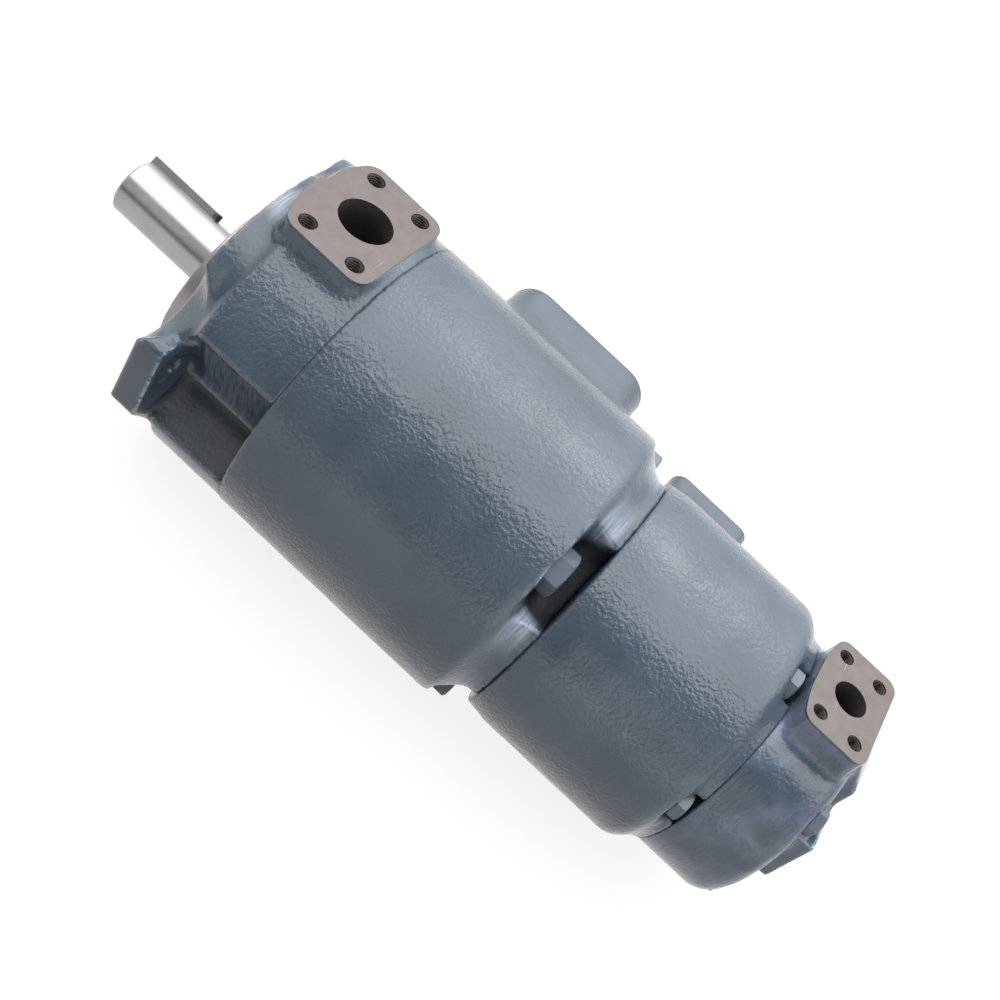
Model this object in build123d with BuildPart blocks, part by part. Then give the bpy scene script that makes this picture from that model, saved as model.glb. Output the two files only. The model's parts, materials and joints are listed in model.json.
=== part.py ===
from build123d import *
from dataclasses import dataclass
from math import cos, radians, sin
import os

# Tandem vane pump. The X axis is the shaft axis: X = 0 is the mounting flange's face, the
# shaft points to -X, both outlets face +Z and both inlets face +Y. Sizes are millimetres.

# Two-bolt mounting flange with its pilot spigot
pilot_radius = 63.5
pilot_length = 12.7
flange_bolt_spacing = 181.0
flange_bolt_hole = 17.5
flange_thickness = 18.5
flange_spot_face = 17.0
ear_reach = 112.5
ear_half_width = 29.0
ear_corner = 6.0
ear_foot_y = 70.0
ear_foot_z = -70.5
scallop_y = 97.0
scallop_z = 49.0
scallop_radius = 29.0
scallop_taper = 42.0

# Casting lengths and outside radii, front to rear
front_housing_length = 81.1
shoulder_x = 20.5
main_body_length = 198.0
main_body_radius = 106.3
seam_step = 0.8
front_housing_radius = main_body_radius - seam_step
outlet_pad_rise = 0.5
flange_disc_step = 6.0
flange_disc_radius = front_housing_radius - flange_disc_step
lug_y = 29.0
lug_radius = 21.5
lug_set_back = 1.8
lug_z = main_body_radius - lug_set_back - lug_radius
main_neck_radius = 91.8
main_taper_start = 24.0
main_taper_end = 8.5
rear_body_length = 134.1
rear_body_front_radius = 92.6
rear_body_front_round = 16.0
rear_body_radius = 95.0
rear_neck_radius = 83.8
rear_neck_length = 6.5
rear_shoulder = 18.0
rear_shoulder_round = 16.5
cover_length = 55.3
cover_radius = 82.8
cover_round = 14.0
cover_land_height = 12.5
cover_land_half_width = 57.0
cover_land_top = 56.5
cover_land_shoulder = 39.0
cover_land_foot = -6.0
cover_land_bottom = -30.0
cover_arm_half = 19.0
cover_rib_rise = 4.0

# Seam planes worked out from the lengths
front_seam = front_housing_length
mid_seam = front_seam + main_body_length
rear_seam = mid_seam + rear_body_length
cover_face = rear_seam + cover_length

# Shaft, key and their running clearances
shaft_radius = 19.05
shaft_reach = 97.0
shaft_chamfer = 1.5
key_width = 9.525
key_length = 56.0
key_seat_depth = 5.0
key_angle = 47.0
running_clearance = 0.05
fit_clearance = 0.05
free_gap = 0.3

# Front ball bearing, shaft seals, bushes and snap rings
bearing_bore_radius = 20.0
bearing_outer_radius = 40.0
bearing_width = 18.0
bearing_front = 4.0
ball_radius = 6.0
ball_count = 9
ball_gap = 0.1
cage_width = 15.0
cage_wall = 3.0
front_seal_radius = 31.0
front_seal_width = 8.0
seal_wall = 1.5
snap_ring_width = 1.75
snap_ring_gap = 30.0
mid_shaft_radius = 15.3
mid_bush_wall = 4.2
mid_bush_length = 36.0
mid_seal_radius = 24.0
mid_seal_width = 8.0
rear_shaft_radius = 12.5
rear_bush_wall = 3.5
rear_bush_length = 22.0

# Bolts that hold the castings together: M18 through the main body, M12 behind it
main_bolt_radius = 9.0
main_bolt_inset = 18.3
main_bolt_circle = main_body_radius - main_bolt_inset
main_bolt_start = 43.0
main_bolt_engagement = 34.0
main_bolt_head_flats = 27.0
main_bolt_head = 11.5
main_bolt_seat = 23.4
small_bolt_radius = 6.0
small_bolt_head_flats = 19.0
small_bolt_head = 7.5
rear_bolt_circle = 79.5
rear_bolt_angles = (21.0, 98.0, 170.0, 262.0, 339.0)
rear_bolt_engagement = 24.0
rear_bolt_seat = 11.0
rear_bolt_spot_face = 14.0
cover_bolt_circle = 67.0
cover_bolt_start = 45.0
cover_bolt_engagement = 22.0
cover_bolt_seat = 3.5
cover_bolt_spot_face = 13.5
bolt_hole_clearance = 0.5

# Hollows inside the castings
outlet_chamber_radius = 46.0
outlet_chamber_front = 27.0
plate_chamber_radius = 54.0
plate_chamber_depth = 21.0
main_bore_radius = 70.0
main_cavity_length = 124.0
main_cone_length = 17.0
main_cone_rise = 22.0
rear_bore_radius = 53.0
rear_suction_radius = 58.0
rear_wall = 13.0
cover_spigot = 6.0
cover_chamber_radius = 42.0
cover_chamber_depth = 38.8
core_flare = 8


@dataclass
class Port:
    """A four-bolt flanged port: bore, bolt spacings, tapped holes and the pad round them."""

    x: float
    height: float
    bore_radius: float
    bore_length: float
    spacing_x: float
    spacing_wide: float
    tap_radius: float
    tap_depth: float
    pad_front: float
    pad_rear: float
    pad_half_width: float
    pad_bulge: float
    pad_corner: float


outlet_main = Port(
    x=43.8, height=main_body_radius + outlet_pad_rise, bore_radius=17.6, bore_length=54.0, spacing_x=35.7,
    spacing_wide=69.9, tap_radius=6.0, tap_depth=27.0, pad_front=36.8, pad_rear=31.4, pad_half_width=46.5,
    pad_bulge=11.0, pad_corner=11.0,
)
outlet_rear = Port(
    x=rear_seam + 24.5, height=93.0, bore_radius=11.5, bore_length=46.0, spacing_x=26.2, spacing_wide=52.4,
    tap_radius=5.0, tap_depth=21.0, pad_front=25.0, pad_rear=24.0, pad_half_width=38.0, pad_bulge=5.0,
    pad_corner=8.5,
)
inlet_main = Port(
    x=front_seam + 96.4, height=122.0, bore_radius=38.0, bore_length=48.0, spacing_x=61.9, spacing_wide=106.4,
    tap_radius=8.0, tap_depth=30.0, pad_front=56.5, pad_rear=56.5, pad_half_width=68.5, pad_bulge=0.0,
    pad_corner=21.0,
)
inlet_rear = Port(
    x=mid_seam + 35.2, height=104.0, bore_radius=19.0, bore_length=42.0, spacing_x=35.7, spacing_wide=69.9,
    tap_radius=6.0, tap_depth=20.0, pad_front=32.0, pad_rear=32.0, pad_half_width=49.5, pad_bulge=0.0,
    pad_corner=9.0,
)


@dataclass
class Cartridge:
    """One pumping set: where its cam ring starts and how large its pieces are."""

    name: str
    ring_front: float
    ring_width: float
    ring_radius: float
    cam_minor: float
    cam_lift: float
    plate_radius: float
    plate_thickness: float
    hub_radius: float
    hub_length: float
    side_thickness: float
    bore_radius: float
    spline_radius: float
    spline_depth: float
    spline_teeth: int
    vane_thickness: float
    vane_height: float
    under_vane_room: float
    screw_radius: float
    plate_to_rear: bool

    def cam_radius(self, angle):
        """Two-lobed cam: least radius at 0 and 180 degrees, most at 90 and 270 degrees."""
        return self.cam_minor + self.cam_lift * (1 - cos(radians(2 * angle))) / 2

    @property
    def ring_rear(self):
        return self.ring_front + self.ring_width

    @property
    def rotor_radius(self):
        return self.cam_minor - free_gap

    @property
    def pin_circle(self):
        return (self.cam_minor + self.cam_lift + self.ring_radius) / 2


vane_count = 10
vane_start = 18.0
vane_step = 360 / vane_count
main_plate_thickness = 22.9
rear_plate_thickness = 20.0
rear_ring_width = 40.0

main_set = Cartridge(
    name="main", ring_front=front_seam + main_plate_thickness, ring_width=60.0, ring_radius=66.0,
    cam_minor=46.0, cam_lift=5.0, plate_radius=main_bore_radius - fit_clearance,
    plate_thickness=main_plate_thickness, hub_radius=34.0, hub_length=13.0, side_thickness=20.0,
    bore_radius=24.0, spline_radius=18.0, spline_depth=1.8, spline_teeth=12, vane_thickness=4.6,
    vane_height=17.0, under_vane_room=2.5, screw_radius=4.0, plate_to_rear=False,
)
rear_set = Cartridge(
    name="rear", ring_front=rear_seam - cover_spigot - rear_plate_thickness - rear_ring_width,
    ring_width=rear_ring_width, ring_radius=50.0, cam_minor=34.0, cam_lift=4.0,
    plate_radius=rear_bore_radius - fit_clearance, plate_thickness=rear_plate_thickness, hub_radius=26.0,
    hub_length=10.0, side_thickness=16.0, bore_radius=18.0, spline_radius=14.8, spline_depth=1.6,
    spline_teeth=12, vane_thickness=3.6, vane_height=12.0, under_vane_room=2.0, screw_radius=3.0,
    plate_to_rear=True,
)

os.makedirs("parts", exist_ok=True)


def save(builder, label):
    """Names a finished piece and writes it as a STEP file of the same name."""
    builder.part.label = label
    export_step(builder.part, f"parts/{label}.step")


def turn(*profile, mode=Mode.ADD):
    """Adds or cuts a body of revolution about the shaft axis, from (x, radius) points."""
    with BuildSketch(Plane.XY) as half_section:
        with BuildLine():
            Polyline(*profile, close=True)
        make_face()
    revolve(half_section.sketch, axis=Axis.X, mode=mode)


def ring_section(front, rear, inner, outer, mode=Mode.ADD):
    """A plain ring or bore between two planes and two radii."""
    turn((front, inner), (front, outer), (rear, outer), (rear, inner), mode=mode)


def outlet_plane(port):
    """The machined face of a port that faces +Z."""
    return Plane(origin=(port.x, 0, port.height), x_dir=(1, 0, 0), z_dir=(0, 0, 1))


def inlet_plane(port):
    """The machined face of a port that faces +Y."""
    return Plane(origin=(port.x, port.height, 0), x_dir=(1, 0, 0), z_dir=(0, 1, 0))


def port_boss(port, plane, hollow_radius, flare):
    """The cast boss under a port's pad, down to the hollow it serves."""
    with BuildSketch(plane) as pad:
        with BuildLine():
            side = port.pad_bulge - port.pad_front
            if port.pad_bulge:
                ThreePointArc((side, -port.pad_half_width), (-port.pad_front, 0), (side, port.pad_half_width))
            else:
                Line((side, -port.pad_half_width), (side, port.pad_half_width))
            Polyline(
                (side, port.pad_half_width),
                (port.pad_rear, port.pad_half_width),
                (port.pad_rear, -port.pad_half_width),
                (side, -port.pad_half_width),
            )
        make_face()
        fillet(pad.vertices(), port.pad_corner)
    extrude(pad.sketch, amount=hollow_radius - port.height, taper=-flare)


def port_holes(port, plane, hollow_radius):
    """The port's straight bore, the flared core behind it and its four tapped holes."""
    with BuildSketch(plane) as bore:
        Circle(port.bore_radius)
    extrude(bore.sketch, amount=-port.bore_length, mode=Mode.SUBTRACT)
    with BuildSketch(plane.offset(-port.bore_length)) as core:
        Circle(port.bore_radius)
    core_depth = port.height - port.bore_length - hollow_radius / 2
    extrude(core.sketch, amount=-core_depth, taper=-core_flare, mode=Mode.SUBTRACT)
    with BuildSketch(plane) as taps:
        with GridLocations(port.spacing_x, port.spacing_wide, 2, 2):
            Circle(port.tap_radius)
    extrude(taps.sketch, amount=-port.tap_depth, mode=Mode.SUBTRACT)


def bolt_holes(spots, radius, front, rear):
    """Holes along the shaft axis at each (y, z) spot."""
    with BuildSketch(Plane.YZ.offset(front)) as holes:
        with Locations(*spots):
            Circle(radius)
    extrude(holes.sketch, amount=rear - front, mode=Mode.SUBTRACT)


def on_circle(radius, angles):
    """Places (y, z) on a circle round the shaft axis, each turned to face outwards."""
    return [
        Location((radius * cos(radians(a)), radius * sin(radians(a)), 0), (0, 0, a)) for a in angles
    ]


def hex_bolts(spots, radius, flats, head, seat, tip):
    """Hexagon bolts with chamfered heads towards the rear and one flat facing outwards."""
    chamfer_depth = head / 6
    with BuildSketch(Plane.YZ.offset(tip)) as shanks:
        with Locations(*spots):
            Circle(radius)
    extrude(shanks.sketch, amount=seat - tip)
    with BuildSketch(Plane.YZ.offset(seat)) as heads:
        with Locations(*spots):
            RegularPolygon(flats / 2, 6, major_radius=False, rotation=30)
    extrude(heads.sketch, amount=head - chamfer_depth)
    with BuildSketch(Plane.YZ.offset(seat + head - chamfer_depth)) as crowns:
        with Locations(*spots):
            Circle(flats / 2)
    extrude(crowns.sketch, amount=chamfer_depth, taper=30)


main_bolt_spots = on_circle(main_bolt_circle, [main_bolt_start + 90 * i for i in range(4)])
rear_bolt_spots = on_circle(rear_bolt_circle, rear_bolt_angles)
cover_bolt_spots = on_circle(cover_bolt_circle, [cover_bolt_start + 90 * i for i in range(4)])
main_bolt_seat_x = mid_seam - main_bolt_seat
rear_bolt_seat_x = rear_seam - rear_bolt_seat
cover_bolt_seat_x = cover_face - cover_bolt_seat

# O-ring grooves in the three seams: mean radius and section
seal_section = 1.75
seal_groove_depth = 2.8
front_seam_seal = main_bore_radius + 4.2
mid_seam_seal = 62.0
rear_seam_seal = rear_bore_radius + 4.2


def seam_groove(seam, mean_radius, depth):
    """Groove for a seam's O-ring, cut forwards or rearwards from the seam."""
    ring_section(
        seam, seam + depth, mean_radius - seal_section - free_gap, mean_radius + seal_section + free_gap,
        mode=Mode.SUBTRACT,
    )


# Cutter for the bolt access pocket behind an ear, with rounded inner corners
pocket_top = (ear_reach * -1.1, 78.0)
pocket_edge = (-96.0, 43.5)
pocket_valley = (-67.5, -14.0)
pocket_foot = (-99.0, -35.5)
pocket_bottom = (ear_reach * -1.1, -50.0)
pocket_valley_round = 12.0
pocket_end_round = 9.0

with BuildPart() as ear_pocket:
    with BuildSketch(Plane.YZ.offset(flange_thickness)) as wedge:
        with BuildLine():
            Polyline(pocket_top, pocket_edge, pocket_valley, pocket_foot, pocket_bottom, close=True)
        make_face()
        fillet(wedge.vertices().sort_by(Axis.X)[-1], pocket_valley_round)
    extrude(amount=front_seam + 1 - flange_thickness)
    pocket_end = ear_pocket.edges().group_by(Axis.X)[0]
    fillet(pocket_end.filter_by_position(Axis.Y, -ear_reach, 0), pocket_end_round)

# Front housing: flange, ears, scallops, bolt pockets, outlet pad and the bearing's seat
with BuildPart() as front_housing:
    turn(
        (0, 0),
        (0, flange_disc_radius),
        (shoulder_x, flange_disc_radius),
        (shoulder_x + 3.5, front_housing_radius),
        (front_seam, front_housing_radius),
        (front_seam, 0),
    )
    with BuildSketch(Plane.YZ) as ears:
        Polygon(
            (-ear_reach, ear_half_width),
            (-ear_reach, -ear_half_width),
            (-ear_foot_y, ear_foot_z),
            (ear_foot_y, ear_foot_z),
            (ear_reach, -ear_half_width),
            (ear_reach, ear_half_width),
            align=None,
        )
        fillet(ears.vertices().sort_by(Axis.Y)[2:], ear_corner)
    extrude(amount=flange_thickness)
    with BuildSketch(Plane.YZ.offset(shoulder_x)) as lug:
        with Locations((lug_y, lug_z)):
            Circle(lug_radius)
    extrude(amount=1 - shoulder_x, taper=6)
    port_boss(outlet_main, outlet_plane(outlet_main), plate_chamber_radius, 3)
    # scooped scallops above the ears
    with BuildSketch(Plane.YZ) as scoop_mouths:
        with Locations((-scallop_y, scallop_z), (scallop_y, scallop_z)):
            Circle(scallop_radius)
    extrude(amount=shoulder_x, taper=scallop_taper, mode=Mode.SUBTRACT)
    add(ear_pocket.part, mode=Mode.SUBTRACT)
    add(mirror(ear_pocket.part, about=Plane.XZ, mode=Mode.PRIVATE), mode=Mode.SUBTRACT)
    # turned spigot and the seats inside it
    ring_section(-pilot_length, 0, 0, pilot_radius)
    bearing_rear = bearing_front + bearing_width
    turn(
        (-pilot_length, 0),
        (-pilot_length, front_seal_radius),
        (-seal_wall, front_seal_radius),
        (-seal_wall, front_seal_radius - 5),
        (bearing_front, front_seal_radius - 5),
        (bearing_front, bearing_outer_radius),
        (outlet_chamber_front, bearing_outer_radius),
        (outlet_chamber_front, outlet_chamber_radius),
        (front_seam - plate_chamber_depth, outlet_chamber_radius),
        (front_seam - plate_chamber_depth, plate_chamber_radius),
        (front_seam, plate_chamber_radius),
        (front_seam, 0),
        mode=Mode.SUBTRACT,
    )
    seal_front = -seal_wall - front_seal_width
    ring_section(
        seal_front - snap_ring_width - free_gap, seal_front, front_seal_radius - 1, front_seal_radius + 1.8,
        mode=Mode.SUBTRACT,
    )
    ring_section(
        bearing_rear, bearing_rear + snap_ring_width + free_gap, bearing_outer_radius - 1,
        bearing_outer_radius + 1.8, mode=Mode.SUBTRACT,
    )
    seam_groove(front_seam, front_seam_seal, -seal_groove_depth)
    port_holes(outlet_main, outlet_plane(outlet_main), outlet_chamber_radius)
    bolt_holes(
        main_bolt_spots, main_bolt_radius + fit_clearance,
        front_seam - main_bolt_engagement - 4, front_seam,
    )
    bolt_holes(
        [(-flange_bolt_spacing / 2, 0), (flange_bolt_spacing / 2, 0)], flange_bolt_hole / 2,
        -1, flange_thickness + 1,
    )
    bolt_holes(
        [(-flange_bolt_spacing / 2, 0), (flange_bolt_spacing / 2, 0)], flange_spot_face,
        flange_thickness - 0.6, flange_thickness + 12,
    )
save(front_housing, "front_housing")

# Main body: long barrel with the large inlet boss, tapered neck and four bolt pockets
main_pocket_room = 20.0
main_pocket_floor = main_bolt_circle - main_pocket_room
main_pocket_half = 23.0
main_pocket_mouth = 51.0
main_pocket_round = 10.0
main_bolt_spot_face = 17.0
main_cavity = front_seam + main_cavity_length
main_rear_wall = main_cavity + main_cone_length

with BuildSketch() as bolt_pocket:
    Polygon(
        (main_pocket_floor, -main_pocket_half),
        (main_pocket_floor, main_pocket_half),
        (main_body_radius * 1.15, main_pocket_mouth),
        (main_body_radius * 1.15, -main_pocket_mouth),
        align=None,
    )
    fillet(bolt_pocket.vertices().sort_by(Axis.X)[:2], main_pocket_round)

with BuildPart() as main_body:
    turn(
        (front_seam, 0),
        (front_seam, main_body_radius),
        (mid_seam - main_taper_start, main_body_radius),
        (mid_seam - main_taper_end, main_neck_radius),
        (mid_seam, main_neck_radius),
        (mid_seam, 0),
    )
    fillet(main_body.edges().filter_by(GeomType.CIRCLE).group_by(Axis.X)[1:3], 6)
    port_boss(inlet_main, inlet_plane(inlet_main), main_bore_radius, 1.5)
    with BuildSketch(Plane.YZ.offset(main_bolt_seat_x + 1.8)) as head_pockets:
        with PolarLocations(0, 4, main_bolt_start):
            add(bolt_pocket.sketch)
    extrude(amount=mid_seam - main_bolt_seat_x, mode=Mode.SUBTRACT)
    bolt_holes(main_bolt_spots, main_bolt_spot_face, main_bolt_seat_x, mid_seam)
    turn(
        (front_seam, 0),
        (front_seam, main_bore_radius),
        (main_cavity, main_bore_radius),
        (main_rear_wall, main_bore_radius - main_cone_rise),
        (main_rear_wall, mid_shaft_radius + mid_bush_wall),
        (mid_seam - mid_seal_width - 7, mid_shaft_radius + mid_bush_wall),
        (mid_seam - mid_seal_width - 7, mid_seal_radius),
        (mid_seam, mid_seal_radius),
        (mid_seam, 0),
        mode=Mode.SUBTRACT,
    )
    port_holes(inlet_main, inlet_plane(inlet_main), main_bore_radius)
    bolt_holes(main_bolt_spots, main_bolt_radius + bolt_hole_clearance, front_seam, main_bolt_seat_x)
    bolt_holes(
        rear_bolt_spots, small_bolt_radius + fit_clearance, mid_seam - rear_bolt_engagement - 3, mid_seam,
    )
save(main_body, "main_body")

# Rear body: the smaller pump's barrel, its inlet boss and the shoulder with bolt pockets
with BuildPart() as rear_body:
    shoulder_start = rear_seam - rear_neck_length - rear_shoulder
    with BuildSketch(Plane.XY) as barrel:
        with BuildLine():
            Polyline(
                (shoulder_start, rear_body_radius),
                (mid_seam + rear_body_front_round, rear_body_radius),
                (mid_seam, rear_body_front_radius),
                (mid_seam, 0),
                (rear_seam, 0),
                (rear_seam, rear_neck_radius),
                (rear_seam - rear_neck_length, rear_neck_radius),
            )
            RadiusArc(
                (rear_seam - rear_neck_length, rear_neck_radius),
                (shoulder_start, rear_body_radius),
                -rear_shoulder_round,
            )
        make_face()
    revolve(axis=Axis.X)
    port_boss(inlet_rear, inlet_plane(inlet_rear), rear_bore_radius, 2)
    ring_section(mid_seam - 30, mid_seam, 0, 2 * rear_body_radius, mode=Mode.SUBTRACT)
    bolt_holes(rear_bolt_spots, rear_bolt_spot_face, rear_bolt_seat_x, rear_seam)
    turn(
        (mid_seam, 0),
        (mid_seam, mid_shaft_radius + 3),
        (mid_seam + rear_wall, mid_shaft_radius + 3),
        (mid_seam + rear_wall, rear_bore_radius),
        (rear_seam, rear_bore_radius),
        (rear_seam, 0),
        mode=Mode.SUBTRACT,
    )
    turn(
        (mid_seam + rear_wall + 2, rear_bore_radius),
        (mid_seam + rear_wall + 8, rear_suction_radius),
        (rear_set.ring_rear - 14, rear_suction_radius),
        (rear_set.ring_rear - 8, rear_bore_radius),
        mode=Mode.SUBTRACT,
    )
    seam_groove(mid_seam, mid_seam_seal, seal_groove_depth)
    seam_groove(rear_seam, rear_seam_seal, -seal_groove_depth)
    port_holes(inlet_rear, inlet_plane(inlet_rear), rear_bore_radius)
    bolt_holes(rear_bolt_spots, small_bolt_radius + bolt_hole_clearance, mid_seam, rear_bolt_seat_x)
    bolt_holes(
        cover_bolt_spots, small_bolt_radius + fit_clearance, rear_seam - cover_bolt_engagement - 3, rear_seam,
    )
save(rear_body, "rear_body")

# Rear cover: outlet pad, rounded end and the cross-shaped land between its bolts
with BuildPart() as rear_cover:
    with BuildSketch(Plane.XY) as cup:
        with BuildLine():
            Polyline(
                (cover_face - cover_round, cover_radius),
                (rear_seam, cover_radius),
                (rear_seam, 0),
                (cover_face, 0),
                (cover_face, cover_radius - cover_round),
            )
            RadiusArc(
                (cover_face, cover_radius - cover_round),
                (cover_face - cover_round, cover_radius),
                -cover_round,
            )
        make_face()
    revolve(axis=Axis.X)
    with BuildSketch(Plane.YZ.offset(cover_face - cover_round)) as land:
        with BuildLine():
            Polyline(
                (0, cover_land_top),
                (cover_arm_half, cover_land_top),
                (cover_arm_half, cover_land_shoulder),
                (cover_land_half_width, cover_land_shoulder),
                (cover_land_half_width, cover_land_foot),
                (cover_land_half_width + cover_land_bottom - cover_land_foot, cover_land_bottom),
                (0, cover_land_bottom),
            )
            mirror(about=Plane.YZ)
        make_face()
    extrude(amount=cover_round + cover_land_height)
    port_boss(outlet_rear, outlet_plane(outlet_rear), cover_chamber_radius, 3)
    with BuildSketch(Plane.XZ.offset(-cover_arm_half)) as rib:
        with BuildLine():
            Polyline(
                (outlet_rear.x, outlet_rear.height - cover_rib_rise),
                (outlet_rear.x + outlet_rear.pad_rear - 1, outlet_rear.height - cover_rib_rise),
                (cover_face + cover_land_height, cover_land_top),
                (cover_face + cover_land_height, cover_land_shoulder),
                (outlet_rear.x, cover_land_shoulder),
                close=True,
            )
        make_face()
    extrude(amount=2 * cover_arm_half)
    ring_section(rear_seam - 30, rear_seam, 0, 2 * cover_radius, mode=Mode.SUBTRACT)
    bolt_holes(cover_bolt_spots, cover_bolt_spot_face, cover_bolt_seat_x, cover_face + 10)
    ring_section(rear_seam - cover_spigot, rear_seam, 0, rear_bore_radius - fit_clearance)
    cover_chamber_end = rear_seam + cover_chamber_depth
    turn(
        (rear_seam - cover_spigot, 0),
        (rear_seam - cover_spigot, cover_chamber_radius),
        (cover_chamber_end, cover_chamber_radius),
        (cover_chamber_end, rear_shaft_radius + rear_bush_wall),
        (cover_chamber_end + rear_bush_length, rear_shaft_radius + rear_bush_wall),
        (cover_chamber_end + rear_bush_length, 0),
        mode=Mode.SUBTRACT,
    )
    port_holes(outlet_rear, outlet_plane(outlet_rear), cover_chamber_radius)
    bolt_holes(cover_bolt_spots, small_bolt_radius + bolt_hole_clearance, rear_seam, cover_bolt_seat_x)
save(rear_cover, "rear_cover")

# Bolts
with BuildPart() as main_bolts:
    hex_bolts(
        main_bolt_spots, main_bolt_radius, main_bolt_head_flats, main_bolt_head, main_bolt_seat_x,
        front_seam - main_bolt_engagement,
    )
save(main_bolts, "main_body_bolts")

with BuildPart() as rear_bolts:
    hex_bolts(
        rear_bolt_spots, small_bolt_radius, small_bolt_head_flats, small_bolt_head, rear_bolt_seat_x,
        mid_seam - rear_bolt_engagement,
    )
save(rear_bolts, "rear_body_bolts")

with BuildPart() as cover_bolts:
    hex_bolts(
        cover_bolt_spots, small_bolt_radius, small_bolt_head_flats, small_bolt_head, cover_bolt_seat_x,
        rear_seam - cover_bolt_engagement,
    )
save(cover_bolts, "rear_cover_bolts")


def o_ring(name, x, mean_radius):
    """An O-ring in its seam groove."""
    with BuildPart() as ring:
        with BuildSketch(Plane.XY) as cord:
            with Locations((x, mean_radius)):
                Circle(seal_groove_depth / 2)
        revolve(axis=Axis.X)
    save(ring, name)


o_ring("front_seam_o_ring", front_seam - seal_groove_depth / 2, front_seam_seal)
o_ring("mid_seam_o_ring", mid_seam + seal_groove_depth / 2, mid_seam_seal)
o_ring("rear_seam_o_ring", rear_seam - seal_groove_depth / 2, rear_seam_seal)

# Drive shaft: keyed end, bearing seat and shoulder, two splines and the rear journal
shaft_shoulder = 23.5
shaft_shoulder_width = 8.0
spline_overrun = 4.0
shaft_rear = cover_chamber_end + rear_bush_length - 2
snap_groove_front = bearing_front - snap_ring_width - 0.35
snap_groove_depth = 1.25
main_spline_front = main_set.ring_front - spline_overrun
main_spline_rear = main_set.ring_rear + spline_overrun
rear_spline_front = rear_set.ring_front - spline_overrun
rear_spline_rear = rear_set.ring_rear + spline_overrun


def spline_gaps(cartridge, front, rear):
    """The spaces between straight-sided spline teeth, cut into the shaft."""
    root = cartridge.spline_radius - cartridge.spline_depth
    width = 3.14159 * cartridge.spline_radius / cartridge.spline_teeth
    with BuildSketch(Plane.YZ.offset(front)) as gaps:
        with PolarLocations(root + 5, cartridge.spline_teeth):
            Rectangle(10, width)
    extrude(gaps.sketch, amount=rear - front, mode=Mode.SUBTRACT)


with BuildPart() as drive_shaft:
    turn(
        (-shaft_reach, 0),
        (-shaft_reach, shaft_radius - shaft_chamfer),
        (-shaft_reach + shaft_chamfer, shaft_radius),
        (snap_groove_front, shaft_radius),
        (snap_groove_front, shaft_radius - snap_groove_depth),
        (snap_groove_front + snap_ring_width + 0.1, shaft_radius - snap_groove_depth),
        (snap_groove_front + snap_ring_width + 0.1, shaft_radius),
        (bearing_front, shaft_radius),
        (bearing_front, bearing_bore_radius),
        (bearing_rear, bearing_bore_radius),
        (bearing_rear, shaft_shoulder),
        (bearing_rear + shaft_shoulder_width, shaft_shoulder),
        (bearing_rear + shaft_shoulder_width, shaft_radius),
        (main_spline_front - 4, shaft_radius),
        (main_spline_front, main_set.spline_radius),
        (main_spline_rear, main_set.spline_radius),
        (main_spline_rear, mid_shaft_radius),
        (rear_spline_front, mid_shaft_radius),
        (rear_spline_front, rear_set.spline_radius),
        (rear_spline_rear, rear_set.spline_radius),
        (rear_spline_rear, rear_shaft_radius),
        (shaft_rear - 1, rear_shaft_radius),
        (shaft_rear, rear_shaft_radius - 1),
        (shaft_rear, 0),
    )
    spline_gaps(main_set, main_spline_front, main_spline_rear)
    spline_gaps(rear_set, rear_spline_front, rear_spline_rear)
    key_plane = Plane(
        origin=(-shaft_reach, 0, 0), x_dir=(1, 0, 0),
        z_dir=(0, cos(radians(key_angle)), sin(radians(key_angle))),
    )
    with BuildSketch(key_plane.offset(shaft_radius - key_seat_depth)) as key_seat:
        with Locations((key_length / 2 - key_width, 0)):
            SlotOverall(key_length + 2 * key_width, key_width)
    extrude(amount=key_seat_depth * 2, mode=Mode.SUBTRACT)
save(drive_shaft, "drive_shaft")

# Key: square bar, plain at the shaft's end and rounded at its inner end
with BuildPart() as shaft_key:
    with BuildSketch(key_plane.offset(shaft_radius - key_seat_depth)) as key_shape:
        with Locations((key_length / 2 - key_width, 0)):
            SlotOverall(key_length + 2 * key_width, key_width)
        with Locations((-key_length / 2, 0)):
            Rectangle(key_length, 2 * key_width, mode=Mode.SUBTRACT)
    extrude(amount=key_width)
    chamfer(shaft_key.edges().filter_by(Axis.X).group_by(SortBy.DISTANCE)[-1], 0.5)
save(shaft_key, "shaft_key")

# Ball bearing: two grooved races, the balls and their cage
race_wall = 5.5
ball_circle = (bearing_bore_radius + bearing_outer_radius) / 2
bearing_mid = bearing_front + bearing_width / 2
groove_radius = ball_radius + ball_gap


def bearing_race(name, inner, outer):
    """A bearing race: a ring with a round groove for the balls."""
    with BuildPart() as race:
        ring_section(bearing_front, bearing_front + bearing_width, inner, outer)
        with BuildSketch(Plane.XY) as groove:
            with Locations((bearing_mid, ball_circle)):
                Circle(groove_radius)
        revolve(axis=Axis.X, mode=Mode.SUBTRACT)
    save(race, name)


bearing_race("bearing_outer_race", bearing_outer_radius - race_wall, bearing_outer_radius)
bearing_race("bearing_inner_race", bearing_bore_radius, bearing_bore_radius + race_wall)

ball_step = radians(360 / ball_count)
ball_spots = [
    (bearing_mid, ball_circle * cos(i * ball_step), ball_circle * sin(i * ball_step))
    for i in range(ball_count)
]

with BuildPart() as bearing_balls:
    with Locations(*ball_spots):
        Sphere(ball_radius)
save(bearing_balls, "bearing_balls")

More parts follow.
